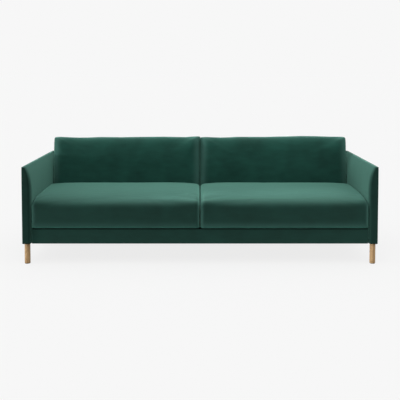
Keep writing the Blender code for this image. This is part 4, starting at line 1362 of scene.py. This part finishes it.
staple_tree, staple_names, _ = scatter_tree(
    "staples", "GeometryNodeMeshCube", [("Staple size", "NodeSocketVector")], [("Staple size", "Size")]
)
screw_tree, screw_names, screw_head = scatter_tree(
    "screws",
    "GeometryNodeMeshCone",
    [(label, "NodeSocketFloat") for label in ("Head radius", "Crown radius", "Head height")],
    [("Head radius", "Radius Bottom"), ("Crown radius", "Radius Top"), ("Head height", "Depth")],
)
screw_head.inputs["Vertices"].default_value = SCREW_SIDES

# %% Staples
STAPLE_STEP, STAPLE_CROWN, STAPLE_WIRE, STAPLE_PROUD = 0.055, 0.010, 0.0011, 0.0006
STAPLE_LIFT = 0.2 * STAPLE_PROUD
NO_TURN = (0.0, 0.0, 0.0)


def spaced(start, end, step):
    """Places from start to end, about a step apart, half a step in from both."""
    count = round((end - start) / step)
    return [start + (end - start) * (i + 0.5) / count for i in range(count)]


staple_z = hem_top - HEM_THICKNESS - STAPLE_LIFT
arm_points = [
    ((x0 + x1) / 2, y, staple_z)
    for name in ("left_arm_hem", "right_arm_hem")
    for x0, x1, y0, y1 in hems[name]
    for y in spaced(y0, y1, STAPLE_STEP)
]
back_points = [
    (x, (y0 + y1) / 2, staple_z)
    for x0, x1, y0, y1 in hems["back_hem"]
    for x in spaced(x0, x1, STAPLE_STEP)
]
LIP_STAPLE_Z, LIP_END_IN, LEG_SWEEP = 0.1545, 0.01, (0.75, 1.00)
lip_points = [
    (x, rail_high.y + STAPLE_LIFT, LIP_STAPLE_Z)
    for x in spaced(rail_low.x + LIP_END_IN, rail_high.x - LIP_END_IN, STAPLE_STEP)
    if not LEG_SWEEP[0] < abs(x) < LEG_SWEEP[1]
]
for name, body, points, size in (
    ("arm_staples", "shell", arm_points, (STAPLE_WIRE, STAPLE_CROWN, STAPLE_PROUD)),
    ("back_staples", "shell", back_points, (STAPLE_CROWN, STAPLE_WIRE, STAPLE_PROUD)),
    ("rail_staples", "pull_out", lip_points, (STAPLE_CROWN, STAPLE_PROUD, STAPLE_WIRE)),
):
    scatter(name, body, points, staple_tree, staple_names, {"Staple size": size, "Turn": NO_TURN})

# %% Screws
SCREW_RADIUS, SCREW_HEIGHT, SCREW_SUNK = 0.0040, 0.0012, 0.00116
SCREW_PAIR, SCREW_CROWN = 0.030, 0.55 * SCREW_RADIUS
QUARTER = math.pi / 2


def middle_y(node):
    """The middle of a node from front to rear."""
    low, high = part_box(node)
    return (low.y + high.y) / 2


def slat_points(kind, count, beams):
    """Two screws where each slat lies on each of its beams."""
    points = []
    for number in range(1, count + 1):
        low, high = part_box(f"{kind}_slat_{number:02d}")
        middle = (low.x + high.x) / 2
        for beam in beams:
            for off in (-SCREW_PAIR, SCREW_PAIR):
                points.append((middle + off, middle_y(beam), high.z - SCREW_SUNK))
    return points


round_head = {"Head radius": SCREW_RADIUS, "Crown radius": SCREW_CROWN, "Head height": SCREW_HEIGHT}
flush_head = {**round_head, "Crown radius": SCREW_RADIUS, "Turn": NO_TURN}
fixed_points = slat_points("fixed", 10, ("front_beam", "rear_ledger"))
scatter("fixed_slat_screws", "shell", fixed_points, screw_tree, screw_names, flush_head)
sliding_points = slat_points("sliding", 9, ("rear_beam",))
scatter("sliding_slat_screws", "pull_out", sliding_points, screw_tree, screw_names, flush_head)
BRACKET_SCREW_OFF, BRACKET_SCREW_DROP = 0.014, 0.011
BRACKET_SCREW_HEIGHT, BRACKET_SCREW_SUNK = 0.0010, 0.0003
RUNNER_WEB, RUNNER_SCREW_YS = 0.002, (-0.30, -0.12, 0.08, 0.33)
for side, sign in SIDES:
    low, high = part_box(f"{side}_leg_bracket")
    middle = (low.x + high.x) / 2
    screw_y, screw_z = high.y - BRACKET_SCREW_SUNK, high.z - BRACKET_SCREW_DROP
    points = [(middle + off, screw_y, screw_z) for off in (-BRACKET_SCREW_OFF, BRACKET_SCREW_OFF)]
    bracket = {**round_head, "Head height": BRACKET_SCREW_HEIGHT, "Turn": (-QUARTER, 0.0, 0.0)}
    scatter(f"{side}_bracket_screws", "pull_out", points, screw_tree, screw_names, bracket)
    low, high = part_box(f"{side}_runner")
    web = max(abs(low.x), abs(high.x)) - RUNNER_WEB
    points = [(sign * web, y, (low.z + high.z) / 2) for y in RUNNER_SCREW_YS]
    channel = {**round_head, "Turn": (0.0, -sign * QUARTER, 0.0)}
    scatter(f"{side}_runner_screws", "shell", points, screw_tree, screw_names, channel)

# %% [markdown]
# ## Sizes
# The dressed sofa must not outgrow its frame. Its size is printed here; the frame's size was printed when it
# was loaded.

# %% Print the dressed size
low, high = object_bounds()
print("visual size", [round(v, 4) for v in high - low])
